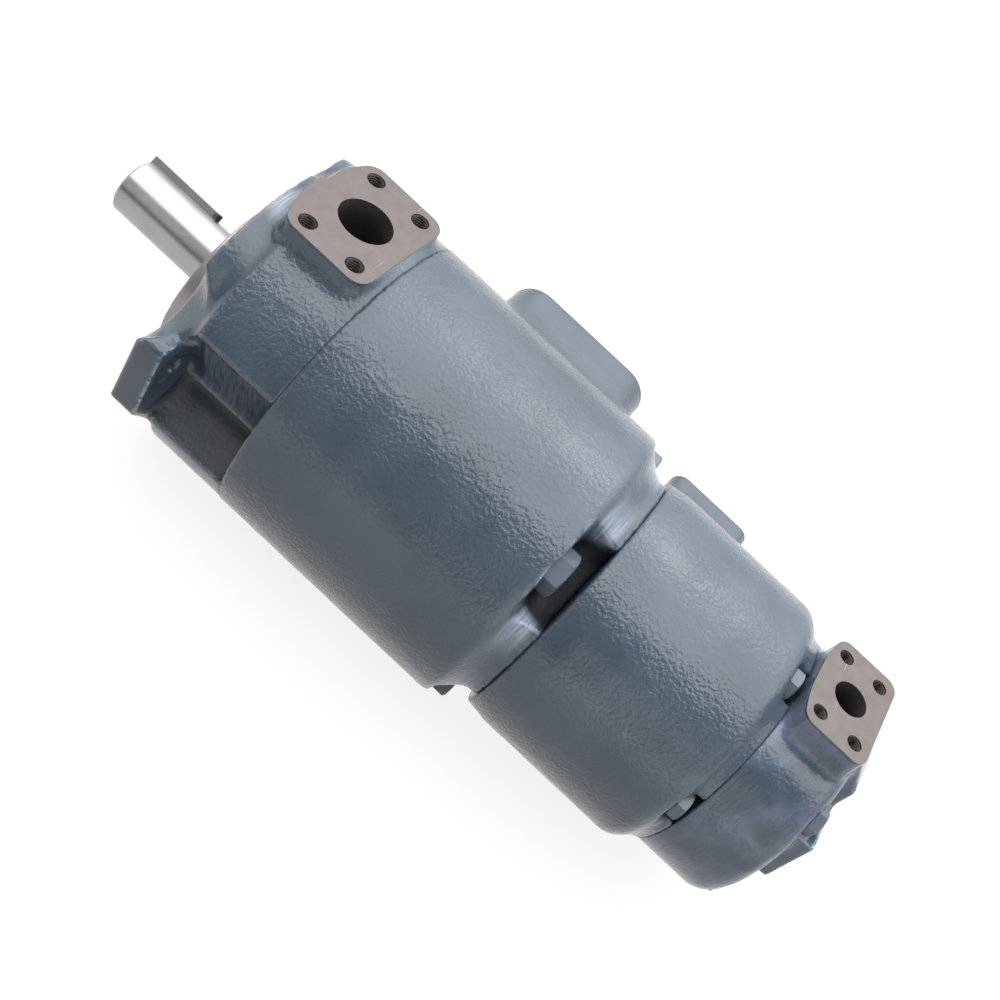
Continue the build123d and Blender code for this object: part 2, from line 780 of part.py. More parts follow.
with BuildPart() as bearing_cage:
    ring_section(
        bearing_mid - cage_width / 2, bearing_mid + cage_width / 2,
        ball_circle - cage_wall / 2, ball_circle + cage_wall / 2,
    )
    with Locations(Plane.YZ.offset(bearing_mid)):
        with PolarLocations(ball_circle, ball_count):
            Cylinder(ball_radius + ball_gap, 3 * cage_wall, rotation=(0, 90, 0), mode=Mode.SUBTRACT)
save(bearing_cage, "bearing_cage")


def snap_ring(name, x, inner, outer, opening):
    """A snap ring with an opening, for a groove in a bore or on a shaft."""
    with BuildPart() as clip:
        ring_section(x, x + snap_ring_width, inner, outer)
        with BuildSketch(Plane.YZ.offset(x - 1)) as gap:
            with BuildLine():
                Polyline(
                    (0, 0),
                    (2 * outer * cos(radians(opening)), -2 * outer * sin(radians(opening))),
                    (2 * outer * cos(radians(opening)), 2 * outer * sin(radians(opening))),
                    close=True,
                )
            make_face()
        extrude(amount=snap_ring_width + 2, mode=Mode.SUBTRACT)
    save(clip, name)


snap_ring(
    "bearing_snap_ring", bearing_rear + 0.1, bearing_outer_radius - 4, bearing_outer_radius + 1.7,
    snap_ring_gap / 2,
)
snap_ring(
    "seal_snap_ring", seal_front - snap_ring_width - 0.1, front_seal_radius - 3.5, front_seal_radius + 1.7,
    snap_ring_gap / 2,
)
snap_ring(
    "shaft_snap_ring", snap_groove_front + 0.05, shaft_radius - snap_groove_depth + 0.05, shaft_radius + 4,
    snap_ring_gap / 2,
)


def lip_seal(name, front, width, bore, outer):
    """A radial shaft seal: channel-shaped ring whose lip runs on the shaft."""
    wall = 2.2
    lip = bore + running_clearance
    with BuildPart() as seal:
        turn(
            (front, lip + 1.5),
            (front, outer),
            (front + width, outer),
            (front + width, outer - wall),
            (front + wall, outer - wall),
            (front + wall, lip + 4.5),
            (front + width - 1, lip + 3),
            (front + width - 1, lip + 0.8),
            (front + width - 2, lip),
            (front + width - 3, lip + 0.5),
        )
    save(seal, name)


lip_seal("front_shaft_seal", seal_front, front_seal_width, shaft_radius, front_seal_radius - fit_clearance)
lip_seal(
    "mid_shaft_seal", mid_seam - mid_seal_width - 7, mid_seal_width, mid_shaft_radius,
    mid_seal_radius - fit_clearance,
)


def bush(name, front, length, bore, wall):
    """A plain bearing bush with a chamfered bore."""
    with BuildPart() as sleeve:
        inner = bore + running_clearance
        outer = bore + wall - fit_clearance
        turn(
            (front, inner + 0.6),
            (front, outer),
            (front + length, outer),
            (front + length, inner + 0.6),
            (front + length - 0.6, inner),
            (front + 0.6, inner),
        )
    save(sleeve, name)


bush("mid_bush", main_rear_wall + 1, mid_bush_length, mid_shaft_radius, mid_bush_wall)
bush("rear_bush", cover_chamber_end, rear_bush_length - 1, rear_shaft_radius, rear_bush_wall)


def sector(inner, outer, centre, spread):
    """A flat sector of a ring, in the sketch that is open."""
    a, b = radians(centre - spread), radians(centre + spread)
    mid = radians(centre)
    with BuildLine() as outline:
        Line((inner * cos(a), inner * sin(a)), (outer * cos(a), outer * sin(a)))
        ThreePointArc(
            (outer * cos(a), outer * sin(a)), (outer * cos(mid), outer * sin(mid)),
            (outer * cos(b), outer * sin(b)),
        )
        Line((outer * cos(b), outer * sin(b)), (inner * cos(b), inner * sin(b)))
        ThreePointArc(
            (inner * cos(b), inner * sin(b)), (inner * cos(mid), inner * sin(mid)),
            (inner * cos(a), inner * sin(a)),
        )
    make_face(outline.edges())


# Port places on the cam: oil is drawn in while the vanes move out, and pushed out after
suction_angles = (45.0, 225.0)
pressure_angles = (135.0, 315.0)
port_spread = 24.0
screw_angles = (-12.0, 168.0)
dowel_angles = (12.0, 192.0)
dowel_radius = 3.0
suction_depth = 6.0


def build_cartridge(c):
    """Makes one pumping set: plates, cam ring, rotor, vanes, screws, dowels and plate seal."""
    screw_spots = on_circle(c.pin_circle, screw_angles)
    dowel_spots = on_circle(c.pin_circle, dowel_angles)
    plate_front = c.ring_rear if c.plate_to_rear else c.ring_front - c.plate_thickness
    side_front = c.ring_front - c.side_thickness if c.plate_to_rear else c.ring_rear
    plate_face = c.ring_rear if c.plate_to_rear else c.ring_front
    side_face = c.ring_front if c.plate_to_rear else c.ring_rear
    inward = 1 if c.plate_to_rear else -1
    hub_start = plate_face + inward * c.plate_thickness

    # cam ring with its two-lobed bore
    with BuildPart() as cam_ring:
        with BuildSketch(Plane.YZ.offset(c.ring_front)) as track:
            Circle(c.ring_radius)
            with BuildLine():
                Spline(
                    *[
                        (c.cam_radius(a) * cos(radians(a)), c.cam_radius(a) * sin(radians(a)))
                        for a in range(0, 360, 15)
                    ],
                    periodic=True,
                )
            make_face(mode=Mode.SUBTRACT)
        extrude(amount=c.ring_width)
        bolt_holes(screw_spots, c.screw_radius + bolt_hole_clearance, c.ring_front, c.ring_rear)
        bolt_holes(dowel_spots, dowel_radius + fit_clearance, c.ring_front, c.ring_rear)
    save(cam_ring, f"{c.name}_cam_ring")

    # slotted rotor with a splined bore
    slot_floor = c.rotor_radius - c.vane_height - c.under_vane_room
    slot_width = c.vane_thickness + 2 * running_clearance
    rotor_front = c.ring_front + running_clearance
    rotor_width = c.ring_width - 2 * running_clearance
    spline_width = 3.14159 * c.spline_radius / c.spline_teeth - 2 * running_clearance
    with BuildPart() as rotor:
        with BuildSketch(Plane.YZ.offset(rotor_front)) as blank:
            Circle(c.rotor_radius)
            with PolarLocations((slot_floor + c.rotor_radius + 5) / 2, vane_count, vane_start):
                Rectangle(c.rotor_radius + 5 - slot_floor, slot_width, mode=Mode.SUBTRACT)
            with PolarLocations(slot_floor, vane_count, vane_start):
                Circle(c.vane_thickness * 0.7, mode=Mode.SUBTRACT)
            Circle(c.spline_radius + running_clearance, mode=Mode.SUBTRACT)
        extrude(amount=rotor_width)
        root = c.spline_radius - c.spline_depth + running_clearance
        with BuildSketch(Plane.YZ.offset(rotor_front)) as teeth:
            with PolarLocations(root + 1.5, c.spline_teeth):
                Rectangle(3, spline_width)
        extrude(amount=rotor_width)
    save(rotor, f"{c.name}_rotor")

    # vanes, drawn in flush with the rotor as they lie at standstill
    for i in range(vane_count):
        angle = radians(vane_start + i * vane_step)
        out = Vector(0, cos(angle), sin(angle))
        with BuildPart() as vane:
            seat = Plane(origin=out * (c.rotor_radius - c.vane_height), x_dir=(1, 0, 0), z_dir=tuple(out))
            with BuildSketch(seat) as blade:
                with Locations((rotor_front + rotor_width / 2, 0)):
                    Rectangle(rotor_width, c.vane_thickness)
            extrude(amount=c.vane_height)
            tip = vane.faces().sort_by(Axis(seat.origin, tuple(out)))[-1]
            fillet(tip.edges().filter_by(Axis.X), c.vane_thickness * 0.45)
        save(vane, f"{c.name}_vane_{i + 1:02d}")

    # pressure plate: floating disc with a hub, pressure kidneys and suction notches
    with BuildPart() as plate:
        ring_section(plate_front, plate_front + c.plate_thickness, c.bore_radius, c.plate_radius)
        hub_end = hub_start + inward * c.hub_length
        ring_section(min(hub_start, hub_end), max(hub_start, hub_end), c.bore_radius, c.hub_radius)
        for angle in pressure_angles:
            with BuildSketch(Plane.YZ.offset(plate_front)) as kidney:
                sector(c.cam_minor - 5, c.cam_minor + c.cam_lift, angle, port_spread)
            extrude(amount=c.plate_thickness, mode=Mode.SUBTRACT)
        for angle in suction_angles:
            with BuildSketch(Plane.YZ.offset(plate_face)) as notch:
                sector(c.cam_minor - 5, c.plate_radius - 8, angle, port_spread)
            extrude(amount=inward * suction_depth, mode=Mode.SUBTRACT)
        bolt_holes(screw_spots, c.screw_radius + fit_clearance, plate_face, plate_face + inward * 14)
        bolt_holes(dowel_spots, dowel_radius + fit_clearance, plate_face, plate_face + inward * 7)
        groove_mid = plate_front + c.plate_thickness / 2
        ring_section(
            groove_mid - 2, groove_mid + 2, c.plate_radius - 2.6, c.plate_radius + 1, mode=Mode.SUBTRACT,
        )
    save(plate, f"{c.name}_pressure_plate")

    # O-ring in the pressure plate's rim
    with BuildPart() as rim_seal:
        with BuildSketch(Plane.XY) as cord:
            with Locations((groove_mid, c.plate_radius - 1.25)):
                Circle(1.25)
        revolve(axis=Axis.X)
    save(rim_seal, f"{c.name}_plate_o_ring")

    # side plate with suction windows open to its rim and counterbored screws
    screw_head_radius = c.screw_radius * 1.5
    screw_head = c.screw_radius * 2
    with BuildPart() as side:
        ring_section(side_front, side_front + c.side_thickness, c.bore_radius, c.ring_radius)
        for angle in suction_angles:
            with BuildSketch(Plane.YZ.offset(side_face)) as window:
                sector(c.cam_minor - 5, c.ring_radius + 5, angle, port_spread)
            extrude(amount=-inward * suction_depth * 1.5, mode=Mode.SUBTRACT)
        bolt_holes(
            screw_spots, c.screw_radius + bolt_hole_clearance, side_front, side_front + c.side_thickness,
        )
        head_seat = side_face - inward * (c.side_thickness - screw_head)
        bolt_holes(
            screw_spots, screw_head_radius + bolt_hole_clearance, head_seat,
            side_face - inward * c.side_thickness,
        )
        bolt_holes(dowel_spots, dowel_radius + fit_clearance, side_face, side_face - inward * 7)
    save(side, f"{c.name}_side_plate")

    # socket-head screws that hold the set together
    with BuildPart() as screws:
        with BuildSketch(Plane.YZ.offset(head_seat)) as shanks:
            with Locations(*screw_spots):
                Circle(c.screw_radius)
        extrude(amount=plate_face + inward * 12 - head_seat)
        with BuildSketch(Plane.YZ.offset(head_seat)) as heads:
            with Locations(*screw_spots):
                Circle(screw_head_radius)
        extrude(amount=-inward * screw_head)
        with BuildSketch(Plane.YZ.offset(head_seat - inward * screw_head)) as sockets:
            with Locations(*screw_spots):
                RegularPolygon(c.screw_radius * 0.8, 6, major_radius=False)
        extrude(amount=inward * screw_head / 2, mode=Mode.SUBTRACT)
    save(screws, f"{c.name}_cartridge_screws")

    # dowels that line up the plates and the ring
    with BuildPart() as dowels:
        with BuildSketch(Plane.YZ.offset(c.ring_front - 6)) as pins:
            with Locations(*dowel_spots):
                Circle(dowel_radius)
        extrude(amount=c.ring_width + 12)
    save(dowels, f"{c.name}_cartridge_dowels")


build_cartridge(main_set)
build_cartridge(rear_set)
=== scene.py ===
import json
import math
from functools import partial

import bmesh
import bpy
import numpy as np
from bpy.props import FloatProperty, FloatVectorProperty, IntProperty, PointerProperty
from mathutils import Matrix, Vector


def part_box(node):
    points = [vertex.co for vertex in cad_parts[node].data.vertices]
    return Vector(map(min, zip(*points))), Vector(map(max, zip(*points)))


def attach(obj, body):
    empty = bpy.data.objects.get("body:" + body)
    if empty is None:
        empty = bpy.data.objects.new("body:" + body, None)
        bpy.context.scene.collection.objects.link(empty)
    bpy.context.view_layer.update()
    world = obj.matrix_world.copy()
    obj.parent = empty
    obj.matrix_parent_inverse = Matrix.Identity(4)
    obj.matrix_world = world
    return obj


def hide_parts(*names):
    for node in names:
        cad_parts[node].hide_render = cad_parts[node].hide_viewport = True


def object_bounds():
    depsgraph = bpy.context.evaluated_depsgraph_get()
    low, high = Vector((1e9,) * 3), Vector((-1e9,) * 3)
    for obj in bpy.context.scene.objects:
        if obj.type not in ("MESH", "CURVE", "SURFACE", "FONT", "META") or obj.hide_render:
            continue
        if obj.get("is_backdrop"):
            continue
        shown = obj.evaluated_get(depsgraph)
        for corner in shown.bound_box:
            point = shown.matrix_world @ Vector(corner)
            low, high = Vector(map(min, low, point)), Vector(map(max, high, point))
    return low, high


# Looks for a tandem vane pump: painted castings, machined port faces, threads, bolts and a studio.
# X runs along the shaft from the flange's face, both outlets face +Z and both inlets +Y.

bl_info = {
    "name": "Tandem Pump Finish",
    "version": (1, 0, 0),
    "blender": (4, 5, 0),
    "location": "3D View > Sidebar > Pump",
    "description": "Painted castings, machined faces, threads, bolts and studio for a vane pump",
    "category": "Object",
}

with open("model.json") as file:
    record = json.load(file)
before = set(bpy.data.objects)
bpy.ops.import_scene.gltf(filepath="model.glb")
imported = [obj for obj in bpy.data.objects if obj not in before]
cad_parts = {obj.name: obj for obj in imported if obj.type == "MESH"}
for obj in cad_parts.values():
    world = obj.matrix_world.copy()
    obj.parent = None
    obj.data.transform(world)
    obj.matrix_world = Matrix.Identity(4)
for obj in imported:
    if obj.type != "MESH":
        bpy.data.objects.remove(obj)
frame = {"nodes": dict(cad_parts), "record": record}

MM = 0.001

# Distance below which two points are one
TINY = 1e-6

MOUNTS = {m["name"]: m for m in frame["record"]["mounts"]}
SLOTS = {s["node"]: s["material_slot"] for s in frame["record"]["subparts"]}
BODIES = frame["record"]["behaviour"]["bodies"]
BODY_OF = {node: body for body, members in BODIES.items() for node in members}

# Seam planes along the shaft, from the CAD pieces
SEAM_1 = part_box("main_body")[0].x
SEAM_2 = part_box("rear_body")[0].x
SEAM_3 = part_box("rear_body")[1].x
COVER_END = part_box("rear_cover")[1].x


def linear(hex_colour):
    """An sRGB hex colour as the linear values that a shader takes."""
    srgb = np.array([int(hex_colour[i:i + 2], 16) for i in (0, 2, 4)]) / 255
    rgb = np.where(srgb <= 0.04045, srgb / 12.92, ((srgb + 0.055) / 1.055) ** 2.4)
    return (*rgb.tolist(), 1.0)


def spread(*sizes):
    """Scale of a pattern along each axis, from its real sizes in millimetres."""
    return tuple(1 / (size * MM) for size in sizes)


def colour_property(name, description, hex_colour):
    """A colour that the panel shows, with its default from a hex value."""
    return FloatVectorProperty(
        name=name, description=description, subtype="COLOR", size=4, min=0, max=1, default=linear(hex_colour),
    )


def length_property(name, description, default):
    """A length in metres, given in millimetres."""
    return FloatProperty(
        name=name, description=description, default=default * MM, min=0, unit="LENGTH", precision=5,
    )


def number_property(name, description, default):
    """A plain number, such as a lamp's power or a share."""
    return FloatProperty(name=name, description=description, default=default, min=0)


def angle_property(name, description, degrees):
    """An angle in radians, given in degrees."""
    return FloatProperty(name=name, description=description, default=math.radians(degrees), subtype="ANGLE")


class CastingSizes(bpy.types.PropertyGroup):
    """Sizes and colours of the painted castings."""

    mesh_step: length_property("Mesh step", "Edge length of the casting's mesh", 1.6)
    lump_size: length_property("Lump size", "Distance between the casting's larger lumps", 7.5)
    lump_height: length_property("Lump height", "Height of the casting's larger lumps", 0.16)
    pit_size: length_property("Pit size", "Distance between sand grain marks", 3.0)
    pit_height: length_property("Pit height", "Height of sand grain marks", 0.06)
    hole_room: length_property("Hole room", "How far a drilled hole stands back for its thread", 0.8)
    seam_lap: length_property("Seam lap", "How far the paint of the front housing laps into the seam", 0.7)
    pad_sink: length_property("Pad sink", "How far the cast boss ends below its machined face", 0.45)
    fillet_rounds: IntProperty(name="Fillet rounds", description="Rounds that fill inner corners", default=60)
    edge_rounds: IntProperty(name="Edge rounds", description="Rounds that break outer edges", default=3)
    edge_bend: number_property("Edge bend", "Bend from which paint is rubbed", 0.045)
    paint: colour_property("Paint", "Blue-grey enamel", "47535E")
    paint_shade: colour_property("Paint shade", "Enamel where it lies thick", "3F4B56")
    worn_paint: colour_property("Worn paint", "Enamel rubbed pale on the edges", "93A0AE")
    # Also the painted reflection on the upper wall of each ear pocket, lighter as if lit from the floor below
    scuffed_paint_and_reflection: colour_property("Scuffed paint and painted reflection", "Enamel dragged thin beside the spot faces, and painted reflection on the ear pocket's wall", "A3ADBE")
    cover_paint: colour_property("Cover paint", "Second coat on the cover, laid on with a brush", "616B7E")
    # Painted shade: a near-black colour laid on the floors of the bolt and ear pockets
    pocket_shade_colour: colour_property("Painted pocket shade", "Painted shade in the bolt and ear pockets", "1B2027")
    bare_iron: colour_property("Bare iron", "Turned grey iron", "9A9695")


class PortSizes(bpy.types.PropertyGroup):
    """Sizes and colours of the machined port faces and their threads."""

    face_thickness: length_property("Face thickness", "Depth of the bare machined edge", 0.9)
    band_depth: length_property("Band depth", "Depth of the painted band round a face", 2.6)
    face_edge: length_property("Face edge", "Broken edge of face and holes", 0.3)
    thread_share: number_property("Pitch share", "Thread pitch over hole radius", 0.29)
    sleeve_wall: length_property("Sleeve wall", "Wall that shows of a bore or thread", 0.45)
    face_colour: colour_property("Face", "Milled grey iron", "66605E")
    face_shade: colour_property("Face shade", "Milled grey iron where it has dulled", "5C5553")
    scratch_colour: colour_property("Scratch", "Bright scratches on the face", "989290")
    rust_colour: colour_property("Rust", "Specks of rust on the face", "4A372C")
    # Thread and bore are both darkened past oiled iron as painted shade inside the holes
    thread_colour: colour_property("Thread", "Cut thread, oiled and darkened as painted shade of the hole", "45403D")
    bore_colour: colour_property("Bore", "Bored port wall, oiled and darkened as painted shade of the bore", "3A3634")


class BoltSizes(bpy.types.PropertyGroup):
    """Sizes and colours of the three bolt patterns."""

    main_circle: length_property("Main circle", "Radius of the main body's bolt circle", 88.0)
    main_start: angle_property("Main start", "Angle of the main body's first bolt from +Y", 43)
    main_flats: length_property("Main flats", "Width across flats of the M18 heads", 27.0)
    main_shank: length_property("Main shank", "Radius of the M18 shanks", 9.0)
    main_head: length_property("Main head", "Height of the M18 heads", 11.5)
    rear_circle: length_property("Rear circle", "Radius of the rear body's bolt circle", 79.5)
    cover_circle: length_property("Cover circle", "Radius of the cover's bolt circle", 67.0)
    cover_start: angle_property("Cover start", "Angle of the cover's first bolt from +Y", 45)
    small_flats: length_property("Small flats", "Width across flats of the M12 heads", 19.0)
    small_shank: length_property("Small shank", "Radius of the M12 shanks", 6.0)
    small_head: length_property("Small head", "Height of the M12 heads", 7.5)
    head_edge: length_property("Head edge", "Broken edge of the heads", 0.35)
    paint: colour_property("Bolt paint", "Enamel brushed over the heads", "525D68")
    worn_paint: colour_property("Worn bolt paint", "Enamel where the brush left it thin", "454F58")


class SteelColours(bpy.types.PropertyGroup):
    """Colours of the bare steel, bronze and rubber pieces."""

    shaft: colour_property("Shaft", "Ground shaft steel", "A4A1A5")
    key: colour_property("Key", "Cold drawn key steel", "8A8888")
    hardened: colour_property("Hardened steel", "Ground rings, rotors and vanes", "B4B2B3")
    spring: colour_property("Spring steel", "Blackened snap rings and screws", "38373A")
    bronze: colour_property("Bronze", "Bushes and cage", "B08A4E")
    rubber: colour_property("Rubber", "Nitrile seals", "1D1D1E")
    bloom: colour_property("Bloom", "Pale bloom on the rubber", "343436")
    iron: colour_property("Machined iron", "Machined grey iron inside the castings", "6E6863")
    plates: colour_property("Plates", "Fine ground ductile iron plates", "8D8884")


class StudioSizes(bpy.types.PropertyGroup):
    """Camera, floor and lamps."""

    camera: FloatVectorProperty(
        name="Camera", description="Place of the camera", size=3, subtype="TRANSLATION",
        default=(0.2178, -0.5889, 0.5821),
    )
    azimuth: angle_property("Azimuth", "Camera's bearing from -Y towards +X", 0.83)
    elevation: angle_property("Elevation", "Camera's height above the horizon", 43.8)
    roll: angle_property("Roll", "Camera's turn about its view", 42.5)
    lens: number_property("Lens", "Focal length in millimetres", 47.2)
    floor: colour_property("Floor", "Grey paper floor", "58585A")
    floor_glow: number_property("Floor glow", "White that the floor shows the eye", 0.86)
    floor_reach: length_property("Floor reach", "Half the floor's width", 6000)
    world: number_property("World", "Strength of the light from the dark side", 0.045)
    canopy: number_property("Canopy", "Strength of the light from overhead", 3.6)
    canopy_low: number_property("Canopy foot", "Strength of the light at the back", 0.95)
    canopy_lean: angle_property("Canopy lean", "How far the canopy's edge leans towards the camera", 32)
    top: number_property("Top", "Power of the softbox above, in watts", 2.5)
    panel: number_property("Panel", "Power of the panel that the shaft mirrors, in watts", 0.75)
    rear: number_property("Rear", "Power of the low lamp at the cover's side, in watts", 3.6)


def add_node(tree, kind, inputs=(), output=0, **settings):
    """Adds a node with its settings and links, and gives one of its outputs.

    Inputs are a list in the node's own order, or a dict by name or number. Each is a value, or the
    output of another node to link from.
    """
    made = tree.nodes.new("ShaderNode" + kind)
    for name, value in settings.items():
        setattr(made, name, value)
    pairs = inputs.items() if isinstance(inputs, dict) else enumerate(inputs)
    for socket, value in pairs:
        if isinstance(value, bpy.types.NodeSocket):
            tree.links.new(value, made.inputs[socket])
        else:
            made.inputs[socket].default_value = value
    return made.outputs[output] if made.outputs else None


# Settings of a Map Range node with soft ends, and of a Mix node with the output that holds its colour
SOFT = {"interpolation_type": "SMOOTHSTEP"}
COLOURS = {"data_type": "RGBA", "output": 2}


def start_material(name):
    """An empty material, the function that adds its nodes, and its Object coordinates."""
    material = bpy.data.materials.new(name)
    material.use_nodes = True
    material.node_tree.nodes.clear()
    add = partial(add_node, material.node_tree)
    return material, add, add("TexCoord", output="Object")


def enamel_on_sand_casting(name, brushed):
    """Alkyd enamel sprayed over a green-sand iron casting: gloss that follows the sand's grain.

    Sand grain marks are 0.3 mm wide and drawn 2.5 mm apart, as the cooled skin and two coats of
    paint leave them. The enamel pools in the hollows, so those are a shade darker. Strokes of a
    brush are 0.5 mm apart and drawn 2 mm apart so that they show.
    """
    sizes = bpy.context.scene.pump_castings
    material, add, place = start_material(name)
    marks = ("calm", "bare", "edge", "scuff_and_reflection", "painted_pocket_shade")
    calm, bare, edge, scuff_and_reflection, painted_pocket_shade = (add("Attribute", output="Fac", attribute_name=mark) for mark in marks)
    rough = add("Math", [1.0, calm], operation="SUBTRACT")
    cloud = add("TexNoise", {"Vector": place, "Scale": 1 / (45 * MM), "Detail": 3})
    grain = add("TexNoise", {"Vector": place, "Scale": 1 / (2.5 * MM), "Detail": 2.5, "Roughness": 0.45})
    fine = add("TexNoise", {"Vector": place, "Scale": 1 / (0.8 * MM), "Detail": 1})
    patches = add("TexNoise", {"Vector": place, "Scale": 1 / (30 * MM), "Detail": 1})
    rubbing = add("TexNoise", {"Vector": place, "Scale": 1 / (7 * MM), "Detail": 4, "Roughness": 0.65})
    along_drag = add("Mapping", {"Vector": place, "Scale": spread(1.5, 21, 21)})
    dragging = add("TexNoise", {"Vector": along_drag, "Scale": 1, "Detail": 3})

    # The coat, then each layer over it with the share in which it shows
    pooled = add("MapRange", [grain, 0.3, 0.5, 0.28, 0.0], **SOFT)
    rubbed = add("MapRange", [rubbing, 0.44, 0.6], **SOFT)
    dragged = add("MapRange", [dragging, 0.3, 0.65, 0.35, 0.8], **SOFT)
    colour = sizes.cover_paint if brushed else sizes.paint
    for share, layer in (
        (add("MapRange", [cloud, 0.38, 0.66], **SOFT), sizes.paint_shade),
        (add("Math", [pooled, rough], operation="MULTIPLY"), sizes.paint_shade),
        (add("Math", [edge, rubbed], operation="MULTIPLY"), sizes.worn_paint),
        # Scuffed paint, and a painted reflection on the ear pocket's upper wall
        (add("Math", [scuff_and_reflection, dragged], operation="MULTIPLY"), sizes.scuffed_paint_and_reflection),
        # Painted shade on the pocket floors
        (painted_pocket_shade, sizes.pocket_shade_colour),
        (bare, sizes.bare_iron),
    ):
        colour = add("Mix", {0: share, 6: colour, 7: layer}, **COLOURS)

    # Bare iron is duller than the enamel, and the painted pocket shade duller still
    gloss = add("MapRange", [cloud, 0.3, 0.7, 0.12, 0.18], **SOFT)
    gloss = add("Math", [bare, 0.25, gloss], operation="MULTIPLY_ADD")
    gloss = add("Math", [painted_pocket_shade, 0.4, gloss], operation="MULTIPLY_ADD")

    # The grain stands up less where the skin is calm, and under the strokes of a brush
    bumps = add("Math", [fine, 0.22, add("MapRange", [grain, 0.36, 0.64], **SOFT)], operation="MULTIPLY_ADD")
    if brushed:
        along_stroke = add("Mapping", {"Vector": place, "Scale": spread(1.68, 14.7, 14.7)})
        strokes = add("TexNoise", {"Vector": along_stroke, "Scale": 1, "Detail": 2})
        strokes = add("MapRange", [strokes, 0.3, 0.7, 0.0, 0.85], **SOFT)
        bumps = add("Math", [bumps, 0.45, strokes], operation="MULTIPLY_ADD")
    patch = add("MapRange", [patches, 0.35, 0.65, 0.55, 1.0], **SOFT)
    bumps = add("Math", [bumps, rough], operation="MULTIPLY")
    bumps = add("Math", [bumps, patch], operation="MULTIPLY")
    shader = add("BsdfPrincipled", {
        "Base Color": colour, "Roughness": gloss,
        "Metallic": add("Math", [bare, 0.8], operation="MULTIPLY"),
        "Normal": add("Bump", {"Height": bumps, "Distance": 0.26 * MM}),
    })
    add("OutputMaterial", {"Surface": shader})
    return material


def milled_iron(name):
    """Grey iron faced with a milling cutter: dull warm grey with fine parallel lay and a few scratches.

    The cutter's lay is 0.2 mm apart and drawn at 0.9 mm so that it shows.
    """
    sizes = bpy.context.scene.pump_ports
    material, add, place = start_material(name)
    along_lay = add("Mapping", {"Vector": place, "Scale": spread(36, 0.9, 0.9)})
    lay = add("TexNoise", {"Vector": along_lay, "Scale": 1, "Detail": 2})
    along_scratch = add("Mapping", {"Vector": place, "Scale": spread(1.44, 36, 1.2)})
    scratch = add("TexNoise", {"Vector": along_scratch, "Scale": 1, "Detail": 1})
    scratch = add("MapRange", [scratch, 0.72, 0.8], **SOFT)
    cloud = add("TexNoise", {"Vector": place, "Scale": 1 / (9 * MM), "Detail": 4, "Roughness": 0.6})
    speck = add("TexNoise", {"Vector": place, "Scale": 1 / (1.4 * MM), "Detail": 2})
    colour = sizes.face_colour
    for share, layer in (
        (add("MapRange", [cloud, 0.35, 0.7, 0.0, 0.3], **SOFT), sizes.face_shade),
        (add("Math", [scratch, 0.5], operation="MULTIPLY"), sizes.scratch_colour),
        (add("MapRange", [speck, 0.73, 0.8, 0.0, 0.6], **SOFT), sizes.rust_colour),
    ):
        colour = add("Mix", {0: share, 6: colour, 7: layer}, **COLOURS)
    height = add("Math", [lay, scratch], operation="ADD")
    shader = add("BsdfPrincipled", {
        "Base Color": colour, "Metallic": 0.7,
        "Roughness": add("MapRange", [cloud, 0.3, 0.7, 0.46, 0.54], **SOFT),
        "Normal": add("Bump", {"Height": height, "Distance": 0.03 * MM}),
    })
    add("OutputMaterial", {"Surface": shader})
    return material


def bare_metal(name, colour, roughness, lay=(0.7, 21, 21), metallic=1.0, depth=0.003):
    """Bare metal that was ground, turned or drawn, with a lay and a depth in millimetres.

    Grinding marks are 0.05 mm apart and drawn at 0.7 mm so that they show as a soft sheen. They run
    where the lay is long.
    """
    material, add, place = start_material(name)
    along_lay = add("Mapping", {"Vector": place, "Scale": spread(*lay)})
    marks = add("TexNoise", {"Vector": along_lay, "Scale": 1, "Detail": 3})
    cloud = add("TexNoise", {"Vector": place, "Scale": 1 / (20 * MM), "Detail": 3})
    share = add("MapRange", [cloud, 0.4, 0.75, 0.0, 0.5], **SOFT)
    shade = tuple(c * 0.78 for c in colour[:3]) + (1.0,)
    shader = add("BsdfPrincipled", {
        "Base Color": add("Mix", {0: share, 6: colour, 7: shade}, **COLOURS), "Metallic": metallic,
        "Roughness": add("MapRange", [marks, 0.3, 0.7, roughness * 0.92, roughness * 1.1], **SOFT),
        "Normal": add("Bump", {"Height": marks, "Distance": depth * MM}),
    })
    add("OutputMaterial", {"Surface": shader})
    return material


def clouded_coat(name, colour, shade, cloud_size, detail, cover, roughness, bump_size, bump_detail, depth):
    """A coat with clouds of a second colour and a fine bump, its sizes in millimetres."""
    material, add, place = start_material(name)
    cloud = add("TexNoise", {"Vector": place, "Scale": 1 / (cloud_size * MM), "Detail": detail})
    bumps = add("TexNoise", {"Vector": place, "Scale": 1 / (bump_size * MM), "Detail": bump_detail})
    share = add("MapRange", [cloud, *cover], **SOFT)
    shader = add("BsdfPrincipled", {
        "Base Color": add("Mix", {0: share, 6: colour, 7: shade}, **COLOURS),
        "Roughness": add("MapRange", [cloud, 0.3, 0.7, *roughness], **SOFT),
        "Normal": add("Bump", {"Height": bumps, "Distance": depth * MM}),
    })
    add("OutputMaterial", {"Surface": shader})
    return material


def moulded_rubber(name):
    """Moulded nitrile rubber: matt black with a faint bloom and the mould's marks 0.5 mm apart."""
    colours = bpy.context.scene.pump_steels
    return clouded_coat(
        name, colours.rubber, colours.bloom, cloud_size=6, detail=4, cover=(0.45, 0.8, 0.0, 0.4),
        roughness=(0.5, 0.7), bump_size=0.5, bump_detail=1, depth=0.02,
    )


def painted_steel(name):
    """Enamel brushed over rolled steel: satin and uneven, with the rolled skin's marks 1.6 mm apart."""
    sizes = bpy.context.scene.pump_bolts
    return clouded_coat(
        name, sizes.paint, sizes.worn_paint, cloud_size=8, detail=3, cover=(0.4, 0.7, 0.0, 0.5),
        roughness=(0.28, 0.42), bump_size=1.6, bump_detail=2, depth=0.06,
    )


